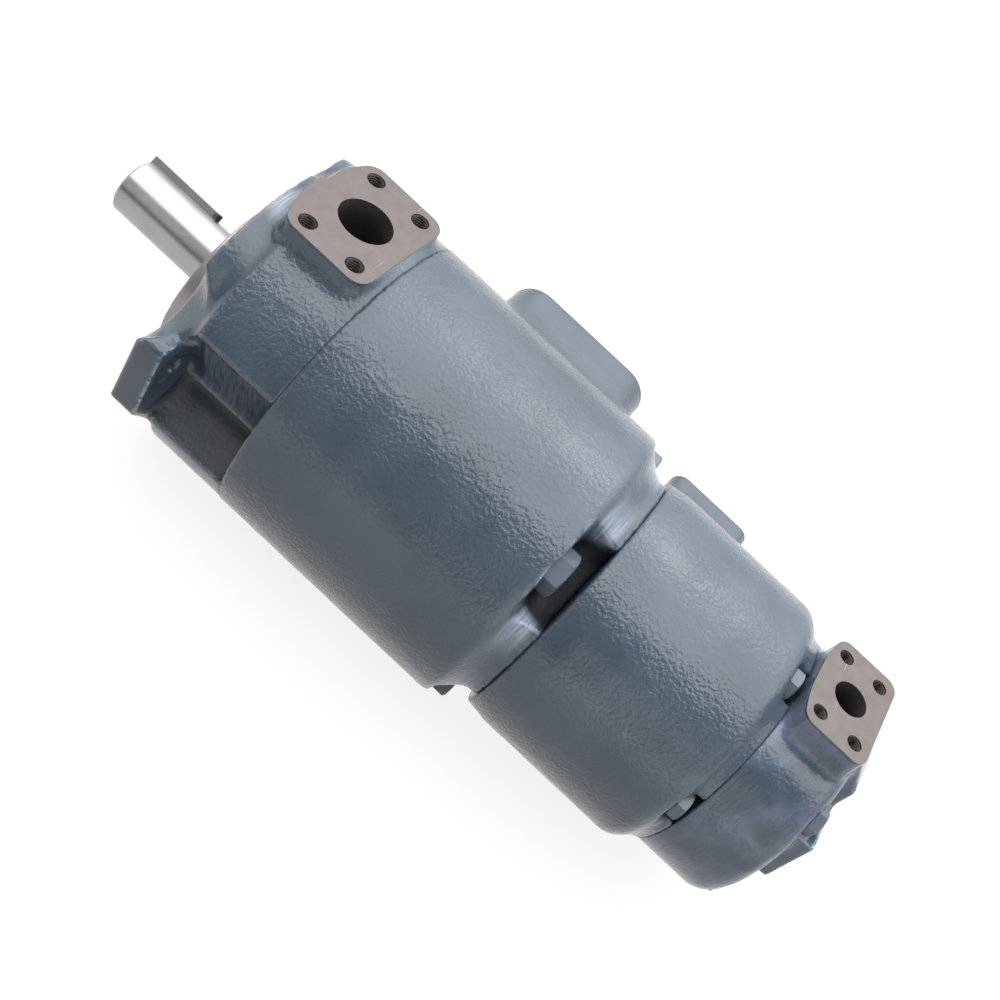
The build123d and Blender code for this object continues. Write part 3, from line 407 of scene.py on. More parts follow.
def grid_quads(rows, columns, closed_rows=False):
    """Quads between the points of a grid whose columns close on themselves."""
    i, j = np.meshgrid(np.arange(rows if closed_rows else rows - 1), np.arange(columns), indexing="ij")
    down, right = (i + 1) % rows, (j + 1) % columns
    quads = [i * columns + j, down * columns + j, down * columns + right, i * columns + right]
    return np.stack(quads, -1).reshape(-1, 4)


def turned(along, radius, sides, centre, axis, start, closed=False):
    """Surface of revolution: radius as a function of the angle and of the distance along the axis.

    A point is centre + along * axis + radius * (cos a * start + sin a * (axis x start)). Radius is
    one value for each row, or a grid of rows by angles.
    """
    angle = np.arange(sides) * 2 * np.pi / sides
    axis, start = np.array(axis, float), np.array(start, float)
    side = np.cross(axis, start)
    along = np.broadcast_to(np.asarray(along, float).reshape(len(along), -1), (len(along), sides))
    radius = np.broadcast_to(np.asarray(radius, float).reshape(len(along), -1), (len(along), sides))
    out = np.cos(angle)[:, None] * start + np.sin(angle)[:, None] * side
    points = np.array(centre) + along[..., None] * axis + radius[..., None] * out[None]
    return points.reshape(-1, 3), grid_quads(len(along), sides, closed)


def make_mesh(name, points, quads):
    """A mesh from arrays of points and quads, with doubled points merged at poles and seams."""
    mesh = bpy.data.meshes.new(name)
    mesh.from_pydata(points, [], quads)
    shell = bmesh.new()
    shell.from_mesh(mesh)
    bmesh.ops.remove_doubles(shell, verts=shell.verts, dist=TINY)
    bmesh.ops.recalc_face_normals(shell, faces=shell.faces)
    shell.to_mesh(mesh)
    shell.free()
    return mesh


def add_piece(mesh, material, node, replaces, smooth_angle):
    """Puts a finished mesh into the scene with its material, riding with a CAD node's body, or in its place.

    An angle of 0 leaves the whole mesh smooth.
    """
    piece = bpy.data.objects.new(mesh.name, mesh)
    bpy.context.scene.collection.objects.link(piece)
    mesh.materials.append(material)
    mesh.shade_smooth()
    if smooth_angle:
        mesh.set_sharp_from_angle(angle=math.radians(smooth_angle))
    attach(piece, BODY_OF[node])
    if replaces:
        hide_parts(node)
    return piece


def join_surfaces(surfaces):
    """Joins (points, quads) pairs into one pair."""
    offsets = np.cumsum([0] + [len(points) for points, _ in surfaces[:-1]])
    points = np.concatenate([points for points, _ in surfaces])
    quads = np.concatenate([quads + offset for (_, quads), offset in zip(surfaces, offsets)])
    return points, quads


def random_heights(points, spacing, seed):
    """Smooth random height from -1 to 1: a lattice of random numbers blended with a cubic step.

    The eight lattice values round each point are mixed by 3t^2 - 2t^3 along each axis.
    """
    table = np.random.default_rng(seed).uniform(-1, 1, (64, 64, 64))
    scaled = points / spacing
    cell = np.floor(scaled).astype(int)
    t = scaled - cell
    t = t * t * (3 - 2 * t)
    height = np.zeros(len(points))
    for corner in np.ndindex(2, 2, 2):
        index = (cell + corner) % 64
        weight = np.prod(np.where(corner, t, 1 - t), axis=1)
        height += weight * table[index[:, 0], index[:, 1], index[:, 2]]
    return height


def soft_step(value, low, high):
    """0 below low, 1 above high and a cubic step between."""
    t = np.clip((value - low) / (high - low), 0, 1)
    return t * t * (3 - 2 * t)


def point_normals(points, quads):
    """Unit normals at the points: the cross products of the quads' diagonals added up."""
    across = np.cross(points[quads[:, 2]] - points[quads[:, 0]], points[quads[:, 3]] - points[quads[:, 1]])
    total = np.stack([
        np.bincount(quads.ravel(), np.repeat(across[:, k], 4), minlength=len(points)) for k in range(3)
    ], 1)
    return total / np.maximum(np.linalg.norm(total, axis=1, keepdims=True), 1e-12)


def neighbour_pull(points, edges, count):
    """From each point to the mean of its neighbours."""
    here = np.concatenate([edges[:, 0], edges[:, 1]])
    there = np.concatenate([edges[:, 1], edges[:, 0]])
    total = np.stack([np.bincount(here, points[there, k], minlength=len(points)) for k in range(3)], 1)
    return total / count[:, None] - points


def port_frames():
    """The four ports as (name, place of the face's centre, axis, bore radius, tap radius, tap places)."""
    ports = []
    along = np.array([1.0, 0, 0])
    for name in ("outlet_main", "outlet_rear", "inlet_main", "inlet_rear"):
        bolts, bore = MOUNTS[name + "_bolts"], MOUNTS[name + "_bore"]
        centre, axis = np.array(bolts["pos_m"]), np.array(bolts["axis"], float)
        across = np.cross(axis, along)
        half_x, half_y = bolts["dims"]["spacing_x_mm"] * MM / 2, bolts["dims"]["spacing_y_mm"] * MM / 2
        taps = [centre + i * half_x * along + j * half_y * across for i in (-1, 1) for j in (-1, 1)]
        ports.append((name, centre, axis, bore["dims"]["r_mm"] * MM, bolts["dims"]["hole_r_mm"] * MM, taps))
    return ports


PORTS = port_frames()
PORT_NODE = {
    "outlet_main": "front_housing", "outlet_rear": "rear_cover",
    "inlet_main": "main_body", "inlet_rear": "rear_body",
}
TAP_DEPTH = {
    "outlet_main": 27 * MM, "outlet_rear": 21 * MM, "inlet_main": 30 * MM, "inlet_rear": 20 * MM,
}
BORE_DEPTH = 42 * MM

# The finish that most of the castings and the rims of the port faces share
SPRAYED = "alkyd enamel, sprayed over sand-cast iron"

# Mesh step of each casting as a share of the common one, which keeps each under 200,000 triangles
STEP_SHARE = {"front_housing": 0.94, "main_body": 1.28, "rear_body": 1.03, "rear_cover": 0.8}

# Radius inside which a casting is machined, and the planes where it meets its neighbours
MACHINED = {
    "front_housing": (58 * MM, (0.0, SEAM_1)),
    "main_body": (72 * MM, (SEAM_1, SEAM_2)),
    "rear_body": (60 * MM, (SEAM_2, SEAM_3)),
    "rear_cover": (55 * MM, (SEAM_3,)),
}

# How many fillet rounds the normals last, the pull that fills nothing, and the seeds of the heights
NORMALS_LAST = 6
FILLET_SLACK = 0.004
LUMP_SEED, PIT_SEED = 3, 5

# Where the skin grows calm near a port's pad and a rear end, as rows of axis, from, to and how calm
COMMON_CALM = 0.25
CALM_BANDS = {
    "front_housing": [(2, 97 * MM, 101 * MM, 0.6)],
    "main_body": [(1, 98 * MM, 106 * MM, 0.85), (0, SEAM_2 - 24 * MM, SEAM_2 - 16 * MM, 0.6)],
    "rear_body": [(1, 88 * MM, 96 * MM, 0.75), (0, SEAM_3 - 22 * MM, SEAM_3 - 12 * MM, 0.5)],
    "rear_cover": [(2, 84 * MM, 88 * MM, 0.6), (0, COVER_END - 14 * MM, COVER_END - 11 * MM, 0.7)],
}

# The front housing's flange and pilot bore, and the hollow behind each ear with the height of its wall
FLANGE = 19 * MM
PILOT_BORE = 45 * MM
EAR_POCKET = 103 * MM
EAR_WALL = 84 * MM

# Middle of the patch where the outlet pad's cutter dragged the paint off the flange, and where it fades
PAD_SCUFF = np.array([11, -24, 97]) * MM
PAD_SCUFF_FADE = (5 * MM, 19 * MM)

# The main body's bolt pockets: their reach ahead of the seam, their bore, the radii over which their painted
# shade fades, and the lip behind them where the spot facing tool dragged the paint
POCKET_REACH = 60 * MM
POCKET_BORE = 26 * MM
POCKET_SHADE_RADII = (80 * MM, 90 * MM)
LIP_FROM = (SEAM_2 - 21 * MM, SEAM_2 - 17 * MM)
LIP_TO = (SEAM_2 - 7 * MM, SEAM_2 - 4 * MM)


def port_marks(node, points, bare, free):
    """Bares the bores of a casting's ports, and holds the skin still at their rims and tapped holes."""
    for name, centre, axis, bore, tap, taps in PORTS:
        if PORT_NODE[name] != node:
            continue
        offset = points - centre
        height = offset @ axis
        reach = np.linalg.norm(offset - height[:, None] * axis, axis=1)
        inside = (1 - soft_step(reach, bore + 0.5 * MM, bore + 1.5 * MM)) * (points @ axis > 0)
        bare = np.maximum(bare, inside * (height < -1 * MM))
        free = free * (1 - inside) * (1 - soft_step(height, -1.2 * MM, -0.6 * MM))
        for spot in taps:
            reach = np.linalg.norm(points - spot - ((points - spot) @ axis)[:, None] * axis, axis=1)
            reach = np.where(height > -TAP_DEPTH[name] - 8 * MM, reach, 1)
            free *= soft_step(reach, tap + 0.8 * MM, tap + 1.6 * MM)
    return bare, free


def paint_marks(node, points, calm):
    """Scuffed paint, a painted reflection on the ear pocket's wall and painted shade in the pockets, after
    the calm skin of the flange and the hollows.
    """
    x, y, z = points.T
    radius = np.hypot(y, z)
    scuff_and_reflection, painted_pocket_shade = 0 * x, 0 * x
    if node == "front_housing":
        pocket = (radius < EAR_POCKET) & (x > FLANGE)
        wall = pocket & (z > 0.9 * (np.abs(y) - EAR_WALL))
        calm = np.where(x < FLANGE + 1 * MM, 0.7, calm)
        calm = np.where(wall, 0.85, np.where(pocket, 0.5, calm))
        # Painted shade on the ear pocket's floor
        painted_pocket_shade = 0.85 * (pocket & ~wall)
        scuff_and_reflection = 1 - soft_step(np.linalg.norm(points - PAD_SCUFF, axis=1), *PAD_SCUFF_FADE)
        # Painted reflection: the ear pocket's upper wall lightened as if it mirrored the floor
        scuff_and_reflection = np.maximum(scuff_and_reflection, 0.7 * (wall & (x > 30 * MM)))
    if node == "main_body":
        start = bpy.context.scene.pump_bolts.main_start
        turn = np.abs((np.arctan2(z, y) - start + math.pi / 4) % (math.pi / 2) - math.pi / 4)
        beside_bolt = soft_step(turn, 0.14, 0.24) * (1 - soft_step(turn, 0.3, 0.75))
        lip = soft_step(x, *LIP_FROM) * (1 - soft_step(x, *LIP_TO))
        scuff_and_reflection = 0.8 * beside_bolt * lip * (radius > POCKET_SHADE_RADII[0])
        # Painted shade inside the bolt pockets, full below 80 mm radius
        painted_pocket_shade = (1 - soft_step(radius, *POCKET_SHADE_RADII)) * (x > SEAM_2 - POCKET_REACH)
    return calm, scuff_and_reflection, painted_pocket_shade


def casting_marks(node, points):
    """The marks that a casting's points carry, and how free each point is, all from 0 to 1.

    The marks are bare metal, calm skin, scuffed paint with a painted reflection, and painted shade in the
    pockets.
    """
    machined_radius, seams = MACHINED[node]
    x, y, z = points.T
    radius = np.hypot(y, z)
    if node == "main_body":
        machined_radius = np.where(x > SEAM_2 - POCKET_REACH, POCKET_BORE, machined_radius)
    bare = 1 - soft_step(radius, machined_radius - 1 * MM, machined_radius)
    if node == "front_housing":
        bare *= soft_step(x, FLANGE - 1 * MM, FLANGE + 1 * MM)
        bare = np.maximum(bare, 1 - soft_step(x, 0.3 * MM, 1.0 * MM))
        bare = np.maximum(bare, 1 - soft_step(radius, PILOT_BORE, PILOT_BORE + 1 * MM))
    if node == "rear_cover":
        bare *= 1 - soft_step(x, COVER_END - 16 * MM, COVER_END - 14 * MM)
    free = 1 - bare
    for seam in seams:
        free *= soft_step(np.abs(x - seam), 0.6 * MM, 2.0 * MM)
    bare, free = port_marks(node, points, bare, free)
    calm = np.full(len(points), COMMON_CALM)
    for k, start, end, most in CALM_BANDS[node]:
        calm = np.maximum(calm, most * soft_step(points[:, k], start, end))
    calm, scuff_and_reflection, painted_pocket_shade = paint_marks(node, points, calm)
    return {"bare": bare, "calm": np.maximum(calm, bare), "scuff_and_reflection": scuff_and_reflection, "painted_pocket_shade": painted_pocket_shade}, free


def clear_holes(node, points):
    """Moves the walls of bores and tapped holes back, and the boss's top down, for the machined pieces."""
    sizes = bpy.context.scene.pump_castings
    for name, centre, axis, bore, tap, taps in PORTS:
        if PORT_NODE[name] != node:
            continue
        for spot, hole, depth in [(centre, bore, BORE_DEPTH)] + [(t, tap, TAP_DEPTH[name]) for t in taps]:
            offset = points - spot
            height = offset @ axis
            flat = offset - height[:, None] * axis
            reach = np.linalg.norm(flat, axis=1)
            near = (reach < hole + 0.75 * MM) & (reach > TINY)
            near &= (height < 1 * MM) & (height > -depth - 2.5 * MM)
            grown = (hole + sizes.hole_room) / np.maximum(reach, TINY)
            points[near] = (spot + height[:, None] * axis + flat * grown[:, None])[near]
        height = (points - centre) @ axis
        points[np.abs(height) < 0.5 * MM] -= sizes.pad_sink * axis
    return points


def merged_shell(node):
    """A CAD piece's loose triangles with their doubled points merged, ready to be edited."""
    shell = bmesh.new()
    shell.from_mesh(frame["nodes"][node].data)
    bmesh.ops.remove_doubles(shell, verts=shell.verts, dist=TINY)
    return shell


def even_mesh(node, step):
    """A CAD piece's surface in an even mesh of quads."""
    mesh = bpy.data.meshes.new(node + "_rough")
    shell = merged_shell(node)
    shell.to_mesh(mesh)
    shell.free()
    rough = bpy.data.objects.new(mesh.name, mesh)
    bpy.context.scene.collection.objects.link(rough)
    remesh = rough.modifiers.new("even", "REMESH")
    remesh.mode, remesh.voxel_size = "VOXEL", step
    even = bpy.data.meshes.new_from_object(rough.evaluated_get(bpy.context.evaluated_depsgraph_get()))
    even.name = node + "_casting"
    bpy.data.objects.remove(rough)
    bpy.data.meshes.remove(mesh)
    return even


def rows_of(elements, key, width, kind):
    """One property of a mesh's elements as an array, so many values to a row."""
    values = np.empty(len(elements) * width, kind)
    elements.foreach_get(key, values)
    return values.reshape(-1, width)


def cast_skin(node, step):
    """The casting as it leaves the sand: an even mesh with filled corners, soft edges and a grain.

    Inner corners are filled by moving each point outwards along its normal by the pull of its
    neighbours. Rounds of the plain pull then break the outer edges. Lumps and grain marks are added
    along the normals, less where the skin is calm.
    """
    sizes = bpy.context.scene.pump_castings
    even = even_mesh(node, step)
    points = rows_of(even.vertices, "co", 3, np.float32).astype(float)
    edges = rows_of(even.edges, "vertices", 2, np.int32)
    quads = rows_of(even.loops, "vertex_index", 1, np.int32).reshape(-1, 4)
    count = np.maximum(np.bincount(edges.ravel(), minlength=len(points)), 1)
    marks, free = casting_marks(node, points)
    for turn in range(sizes.fillet_rounds):
        if turn % NORMALS_LAST == 0:
            normals = point_normals(points, quads)
        pull = neighbour_pull(points, edges, count)
        outwards = np.maximum(np.einsum("ij,ij->i", pull, normals) - FILLET_SLACK * step, 0)
        points += (outwards * free * 0.9)[:, None] * normals
    for turn in range(sizes.edge_rounds):
        points += 0.5 * free[:, None] * neighbour_pull(points, edges, count)
    normals = point_normals(points, quads)
    bend = -np.einsum("ij,ij->i", neighbour_pull(points, edges, count), normals) / step
    marks["edge"] = soft_step(bend, sizes.edge_bend, 3 * sizes.edge_bend) * free
    points = clear_holes(node, points)
    normals = point_normals(points, quads)
    height = sizes.lump_height * random_heights(points, sizes.lump_size, LUMP_SEED)
    height += sizes.pit_height * random_heights(points, sizes.pit_size, PIT_SEED)
    points += (height * free * (1 - 0.75 * marks["calm"]))[:, None] * normals
    if node == "front_housing":
        rim = (np.abs(points[:, 0] - SEAM_1) < 1.5 * step) & (np.hypot(points[:, 1], points[:, 2]) > 100 * MM)
        points[rim, 0] += sizes.seam_lap
    even.vertices.foreach_set("co", points.astype(np.float32).ravel())
    for name, values in marks.items():
        even.attributes.new(name, "FLOAT", "POINT").data.foreach_set("value", values.astype(np.float32))
    even.update()
    return even


class PUMP_OT_castings(bpy.types.Operator):
    """Replaces the four housings by painted sand castings"""

    bl_idname = "pump.castings"
    bl_label = "Castings"

    def execute(self, context):
        sprayed = enamel_on_sand_casting(SPRAYED, False)
        brushed = enamel_on_sand_casting("alkyd enamel, brushed over sand-cast iron", True)
        step = context.scene.pump_castings.mesh_step
        for node, share in STEP_SHARE.items():
            paint = brushed if node == "rear_cover" else sprayed
            add_piece(cast_skin(node, step * share), paint, node, replaces=True, smooth_angle=0)
        return {"FINISHED"}


def machined_face(name, centre, axis, holes):
    """The flat face of a port: the CAD face's own triangles, copied and merged.

    The outer edge is drawn down into a painted band that keeps the cast boss's rim crisp.
    """
    depth = bpy.context.scene.pump_ports.band_depth
    shell = merged_shell(PORT_NODE[name])
    plane, facing = Vector(centre), Vector(axis)
    off = [
        face for face in shell.faces
        if face.normal.dot(facing) < 0.999
        or any(abs((corner.co - plane).dot(facing)) > 0.02 * MM for corner in face.verts)
    ]
    bmesh.ops.delete(shell, geom=off, context="FACES")
    bmesh.ops.dissolve_limit(shell, angle_limit=0.01, verts=shell.verts, edges=shell.edges)
    rims = [(Vector(spot), radius + 0.1 * MM) for spot, radius in holes]
    outer = [
        edge for edge in shell.edges
        if edge.is_boundary and all((edge.verts[0].co - spot).length > radius for spot, radius in rims)
    ]
    band = bmesh.ops.extrude_edge_only(shell, edges=outer)["geom"]
    for part in band:
        if isinstance(part, bmesh.types.BMVert):
            part.co -= facing * depth
        elif isinstance(part, bmesh.types.BMFace):
            part.material_index = 1
    bmesh.ops.recalc_face_normals(shell, faces=shell.faces)
    if max(shell.faces, key=lambda face: face.calc_area()).normal.dot(facing) < 0:
        bmesh.ops.reverse_faces(shell, faces=shell.faces)
    mesh = bpy.data.meshes.new(name + "_face")
    shell.to_mesh(mesh)
    shell.free()
    return mesh


def threaded_hole(spot, axis, radius, depth, pitch, wall, top):
    """A tapped hole as a closed cup: radius = middle + half depth * triangle wave(along / pitch - turn).

    The profile runs from the rim down the thread, over the drill's cone to the centre, and back up
    the outer wall.
    """
    sides, steps = 48, 7
    thread_depth = 0.54 * pitch
    down = np.arange(0, depth, pitch / steps)
    turn = np.arange(sides) / sides
    wave = np.abs(((down[:, None] / pitch - turn[None]) % 1) * 2 - 1)
    cut = radius - thread_depth * (1 - wave)
    mouth = radius - down[:, None] * 0.9
    drill = radius - thread_depth
    drill_point = depth + drill * 0.58
    foot = [depth + 0.2 * MM, drill_point, drill_point + 0.3 * MM, depth + 0.6 * MM, 0.0]
    foot_radii = np.array([drill, 0.0, 0.0, radius + wall, radius + wall])
    along = np.concatenate([down, foot])
    radii = np.concatenate([np.maximum(cut, mouth), np.broadcast_to(foot_radii[:, None], (len(foot), sides))])
    across = np.cross(axis, (1.0, 0, 0))
    return turned(along, radii, sides, spot - top * axis, -axis, across, closed=True)


def bore_sleeve(centre, axis, radius, depth, wall, top):
    """A port's bore as a closed tube with a broken inner edge."""
    along = np.array([0.0, 0.5 * MM, depth * 0.4, depth, depth, 0.0])
    radii = np.array([radius + 0.35 * MM, radius, radius, radius * 0.99, radius + wall, radius + wall])
    return turned(along, radii, 96, centre - top * axis, -axis, np.cross(axis, (1.0, 0, 0)), closed=True)


class PUMP_OT_port_faces(bpy.types.Operator):
    """Adds the bare machined face, bore and tapped holes of each port"""

    bl_idname = "pump.port_faces"
    bl_label = "Port faces"

    def execute(self, context):
        sizes = context.scene.pump_ports
        milled = milled_iron("grey cast iron, face milled")
        enamel = bpy.data.materials[SPRAYED]
        # Threads and bores take colours darkened as painted shade of the holes
        cut = bare_metal("grey cast iron, tapped", sizes.thread_colour, 0.45, (0.8, 0.8, 0.8), 0.8)
        bored = bare_metal("grey cast iron, bored", sizes.bore_colour, 0.6, (1.2, 1.2, 1.2), 0.5, 0.06)
        for name, centre, axis, bore, tap, taps in PORTS:
            node = PORT_NODE[name]
            holes = [(centre, bore)] + [(spot, tap) for spot in taps]
            face = add_piece(machined_face(name, centre, axis, holes), milled, node, False, 30)
            face.data.materials.append(enamel)
            face.data.shade_flat()
            solid = face.modifiers.new("thickness", "SOLIDIFY")
            solid.thickness, solid.offset = sizes.face_thickness, -1
            edge = face.modifiers.new("broken edge", "BEVEL")
            edge.width, edge.segments, edge.angle_limit = sizes.face_edge, 2, math.radians(40)
            threads = [
                threaded_hole(
                    spot, axis, tap, TAP_DEPTH[name] - 1 * MM, tap * sizes.thread_share, sizes.sleeve_wall,
                    sizes.face_thickness,
                ) for spot in taps
            ]
            add_piece(make_mesh(name + "_threads", *join_surfaces(threads)), cut, node, False, 50)
            depth = BORE_DEPTH - 4 * MM
            sleeve = bore_sleeve(centre, axis, bore, depth, sizes.sleeve_wall, sizes.face_thickness)
            add_piece(make_mesh(name + "_bore_wall", *sleeve), bored, node, False, 40)
        return {"FINISHED"}


def hexagon_bolt(seat, tip, y, z, flats, head, shank):
    """A hexagon bolt along X with its head at the rear and one flat facing outwards.

    The head's radius is the lesser of the hexagon, half flats / cos(angle to the nearest flat), and
    a 30 degree cone from the crown. The rest is a turned profile.
    """
    sides = 96
    angle = np.arange(sides) * 2 * np.pi / sides
    near = (angle + np.pi / 6) % (np.pi / 3) - np.pi / 6
    hexagon = flats / 2 / np.cos(near)
    corner = flats / 2 / math.cos(math.pi / 6)
    crown, washer = flats * 0.475, flats * 0.47
    foot, washer_height, chamfer = seat + 0.9 * MM, 0.4 * MM, 1.5 * MM
    slope = math.tan(math.radians(30))
    drop = np.linspace(0, 1, 7) * (corner - crown) * slope
    top = seat + head
    along = np.concatenate([
        [top, top], top - drop, [foot, seat + washer_height, seat + washer_height, seat, seat],
        [tip + chamfer, tip, tip],
    ])
    cap = np.concatenate([
        [0, crown * 0.97], crown + drop / slope, [corner, corner - 0.3 * MM, washer, washer, shank],
        [shank, shank - chamfer, 0],
    ])
    radii = np.minimum(cap[:, None], hexagon[None])
    out = np.array([0, y, z]) / math.hypot(y, z)
    return turned(along, radii, sides, (0, y, z), (1, 0, 0), out)


class PUMP_OT_bolts(bpy.types.Operator):
    """Replaces the three sets of hexagon bolts"""

    bl_idname = "pump.bolts"
    bl_label = "Bolts"

    def execute(self, context):
        sizes = context.scene.pump_bolts
        painted = painted_steel("alkyd enamel, brushed over rolled steel")
        rear_angles = [math.radians(degrees) for degrees in (21, 98, 170, 262, 339)]
        quarter = [math.pi / 2 * i for i in range(4)]
        patterns = (
            ("main_body_bolts", sizes.main_circle, [sizes.main_start + a for a in quarter],
             sizes.main_flats, sizes.main_head, sizes.main_shank),
            ("rear_body_bolts", sizes.rear_circle, rear_angles,
             sizes.small_flats, sizes.small_head, sizes.small_shank),
            ("rear_cover_bolts", sizes.cover_circle, [sizes.cover_start + a for a in quarter],
             sizes.small_flats, sizes.small_head, sizes.small_shank),
        )
        for node, circle, angles, flats, head, shank in patterns:
            low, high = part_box(node)
            bolts = [
                hexagon_bolt(
                    high.x - head, low.x, circle * math.cos(a), circle * math.sin(a), flats, head, shank,
                ) for a in angles
            ]
            mesh = make_mesh(node + "_finished", *join_surfaces(bolts))
            piece = add_piece(mesh, painted, node, True, 25)
            edge = piece.modifiers.new("broken edge", "BEVEL")
            edge.width, edge.segments, edge.angle_limit = sizes.head_edge, 2, math.radians(25)
            edge.harden_normals = True
        return {"FINISHED"}


class PUMP_OT_inner_parts(bpy.types.Operator):
    """Gives each CAD piece that stays in view its metal, bronze or rubber"""

    bl_idname = "pump.inner_parts"
    bl_label = "Shaft and inner parts"

    def execute(self, context):
        colours = context.scene.pump_steels
        lengthwise, crosswise = (28, 0.7, 0.7), (0.7, 28, 28)
        finishes = {
            "housing_paint": bare_metal("grey cast iron, machined", colours.iron, 0.5),
            "bolt_paint": painted_steel("alkyd enamel on bolts"),
            "seal_rubber": moulded_rubber("nitrile rubber, moulded"),
            "shaft_steel": bare_metal("shaft steel, cylindrically ground", colours.shaft, 0.3, crosswise),
            "key_steel": bare_metal("key steel, cold drawn", colours.key, 0.34, lengthwise),
            "bearing_steel": bare_metal("bearing steel, honed", colours.hardened, 0.14, crosswise),
            "cage_brass": bare_metal("brass, turned", colours.bronze, 0.3),
            "spring_steel": bare_metal("spring steel, blackened", colours.spring, 0.4),
            "bush_bronze": bare_metal("leaded bronze, turned", colours.bronze, 0.32),
            "ring_steel": bare_metal("ring steel, ground", colours.hardened, 0.26),
            "rotor_steel": bare_metal("rotor steel, ground", colours.hardened, 0.28),
            "plate_iron": bare_metal("ductile iron, fine ground", colours.plates, 0.36),
            "screw_steel": bare_metal("screw steel, blackened", colours.spring, 0.42),
            "vane_steel": bare_metal("tool steel, ground", colours.hardened, 0.22, lengthwise),
        }
        for name, node in frame["nodes"].items():
            node.data.materials.clear()
            node.data.materials.append(finishes[SLOTS[name]])
        return {"FINISHED"}


def look_matrix(studio):
    """The camera's rotation: back towards azimuth and elevation, then rolled about the view."""
    a, e = studio.azimuth, studio.elevation
    back = Vector((math.sin(a) * math.cos(e), -math.cos(a) * math.cos(e), math.sin(e)))
    right = Vector((math.cos(a), math.sin(a), 0))
    up = back.cross(right)
    turned_right = right * math.cos(studio.roll) + up * math.sin(studio.roll)
    turned_up = back.cross(turned_right)
    return Matrix((turned_right, turned_up, back)).transposed().to_4x4()


def canopy_light(world, studio):
    """A bright canopy over and behind the pump, dark on the camera's side of its edge.

    The canopy covers the directions d where d.y cos t + d.z sin t > 0, with t how far its edge leans
    past the zenith towards the camera. It fades from overhead down to the horizon. A camera that
    looks past the floor sees plain white, and gloss and metal mirror the canopy itself.
    """
    world.use_nodes = True
    world.node_tree.nodes.clear()
    add = partial(add_node, world.node_tree)
    place = add("TexCoord", output="Generated")
    facing = (0, math.cos(studio.canopy_lean), math.sin(studio.canopy_lean))
    side = add("VectorMath", [place, facing], output="Value", operation="DOT_PRODUCT")
    height = add("VectorMath", [place, (0, 0, 1)], output="Value", operation="DOT_PRODUCT")
    share = add("MapRange", [side, -0.04, 0.04], **SOFT)
    level = add("MapRange", [height, 0.1, 0.95, studio.canopy_low, studio.canopy], **SOFT)
    level = add("Math", [share, level, studio.world], operation="MULTIPLY_ADD")
    seen = add("LightPath", output="Is Camera Ray")
    unseen = add("Math", [1.0, seen], operation="SUBTRACT")
    level = add("Math", [level, unseen, seen], operation="MULTIPLY_ADD")
    air = add("Background", {"Color": (1, 1, 1, 1), "Strength": level})
    add("OutputWorld", {"Surface": air})


def add_lamp(name, place, target, size, power):
    """A rectangular softbox that faces a point."""
    data = bpy.data.lights.new(name, "AREA")
    data.shape, data.energy = "RECTANGLE", power
    data.size, data.size_y = size
    lamp = bpy.data.objects.new(name, data)
    lamp.location = place
    lamp.visible_camera = False
    lamp.rotation_mode = "QUATERNION"
    lamp.rotation_quaternion = (Vector(target) - Vector(place)).to_track_quat("-Z", "Y")
    bpy.context.scene.collection.objects.link(lamp)


def paper_floor(studio):
    """Matt coated paper that also shines a little to the eye and in gloss, so that it shows white."""
    material, add, place = start_material("paper, matt coated")
    seen = add("LightPath", output="Is Camera Ray")
    for ray in ("Is Glossy Ray", "Is Transmission Ray"):
        seen = add("Math", [seen, add("LightPath", output=ray)], operation="MAXIMUM")
    shader = add("BsdfPrincipled", {
        "Base Color": studio.floor, "Roughness": 0.9, "Emission Color": (1, 1, 1, 1),
        "Emission Strength": add("Math", [seen, studio.floor_glow], operation="MULTIPLY"),
    })
    add("OutputMaterial", {"Surface": shader})
    return material


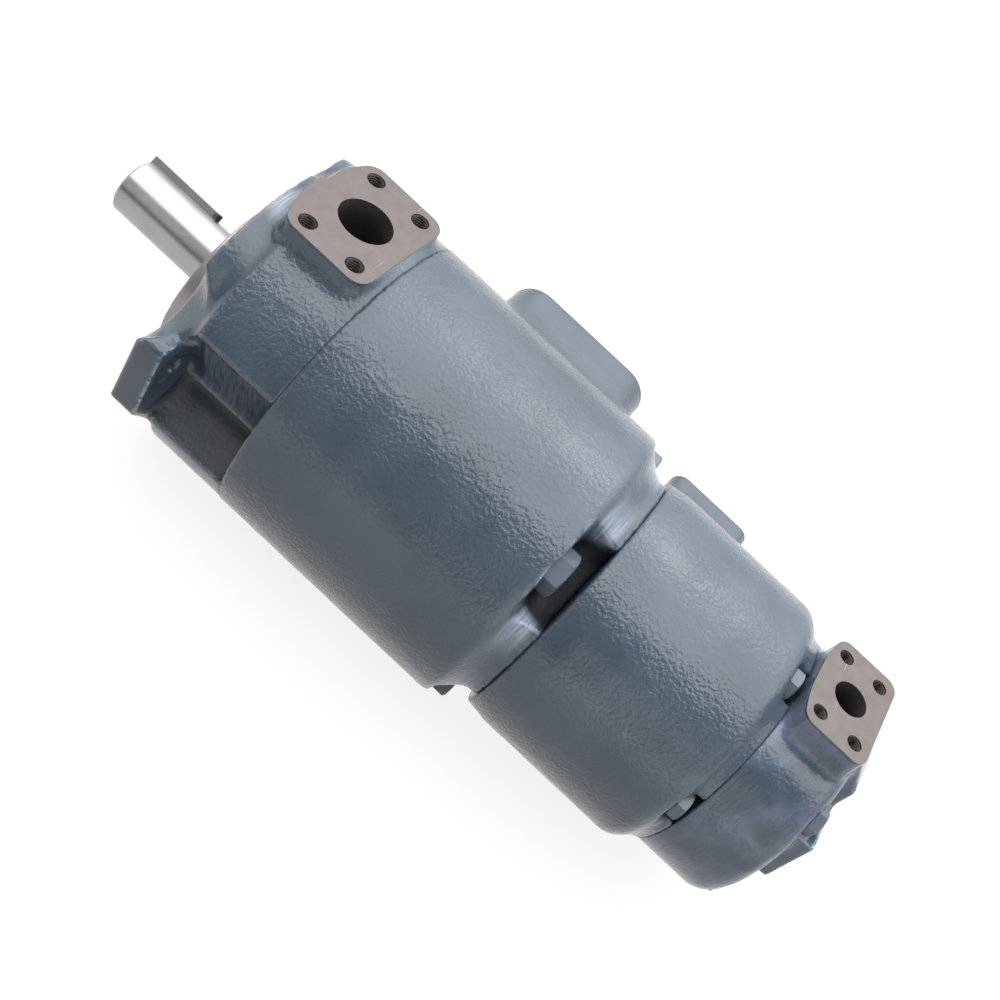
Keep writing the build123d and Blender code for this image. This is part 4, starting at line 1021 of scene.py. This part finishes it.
class PUMP_OT_stage(bpy.types.Operator):
    """Sets up the floor, the lamps, the world and the camera"""

    bl_idname = "pump.stage"
    bl_label = "Stage"

    def execute(self, context):
        studio = context.scene.pump_studio
        low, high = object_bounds()
        middle = (low + high) / 2
        corners = np.array([(-1, -1), (1, -1), (1, 1), (-1, 1)]) * studio.floor_reach
        points = [(middle.x + x, middle.y + y, low.z) for x, y in corners]
        mesh = bpy.data.meshes.new("floor")
        mesh.from_pydata(points, [], [(0, 1, 2, 3)])
        mesh.materials.append(paper_floor(studio))
        floor = bpy.data.objects.new("floor", mesh)
        context.scene.collection.objects.link(floor)
        floor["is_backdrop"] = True
        world = bpy.data.worlds.new("studio air")
        context.scene.world = world
        canopy_light(world, studio)
        shaft, cover = (low.x + 0.04, 0, 0), (high.x - 0.03, 0, 0)
        add_lamp("top softbox", (middle.x + 0.1, 0.7, 1.3), middle, (0.6, 0.4), studio.top)
        add_lamp("shaft panel", (low.x - 0.35, -0.85, 0.5), shaft, (0.34, 0.62), studio.panel)
        add_lamp("rear softbox", (high.x + 0.4, -0.85, 0.05), cover, (1.1, 0.9), studio.rear)
        data = bpy.data.cameras.new("camera")
        data.sensor_width, data.lens = 36.0, studio.lens
        data.clip_start, data.clip_end = 0.05, 50
        camera = bpy.data.objects.new("camera", data)
        camera.matrix_world = Matrix.Translation(studio.camera) @ look_matrix(studio)
        context.scene.collection.objects.link(camera)
        context.scene.camera = camera
        context.scene.view_settings.view_transform = "Standard"
        return {"FINISHED"}


class PUMP_PT_finish(bpy.types.Panel):
    """Lists the pump's sizes and the steps that dress it"""

    bl_idname = "PUMP_PT_finish"
    bl_label = "Pump finish"
    bl_space_type = "VIEW_3D"
    bl_region_type = "UI"
    bl_category = "Pump"

    def draw(self, context):
        for name in GROUPS:
            group = getattr(context.scene, name)
            box = self.layout.box()
            box.label(text=GROUPS[name].__doc__)
            for key in group.bl_rna.properties.keys():
                if key not in ("rna_type", "name"):
                    box.prop(group, key)
        for step in STEPS:
            self.layout.operator(step.bl_idname)


GROUPS = {
    "pump_castings": CastingSizes,
    "pump_ports": PortSizes,
    "pump_bolts": BoltSizes,
    "pump_steels": SteelColours,
    "pump_studio": StudioSizes,
}
STEPS = (PUMP_OT_inner_parts, PUMP_OT_castings, PUMP_OT_port_faces, PUMP_OT_bolts, PUMP_OT_stage)


def register():
    for group in (*GROUPS.values(), *STEPS, PUMP_PT_finish):
        bpy.utils.register_class(group)
    for name, group in GROUPS.items():
        setattr(bpy.types.Scene, name, PointerProperty(type=group))


def unregister():
    for name in GROUPS:
        delattr(bpy.types.Scene, name)
    for group in reversed((*GROUPS.values(), *STEPS, PUMP_PT_finish)):
        bpy.utils.unregister_class(group)


def main():
    """Dresses the pump: each step in order."""
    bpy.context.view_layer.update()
    register()
    for step in STEPS:
        getattr(bpy.ops.pump, step.bl_idname.split(".")[1])()


if __name__ == "__main__":
    main()
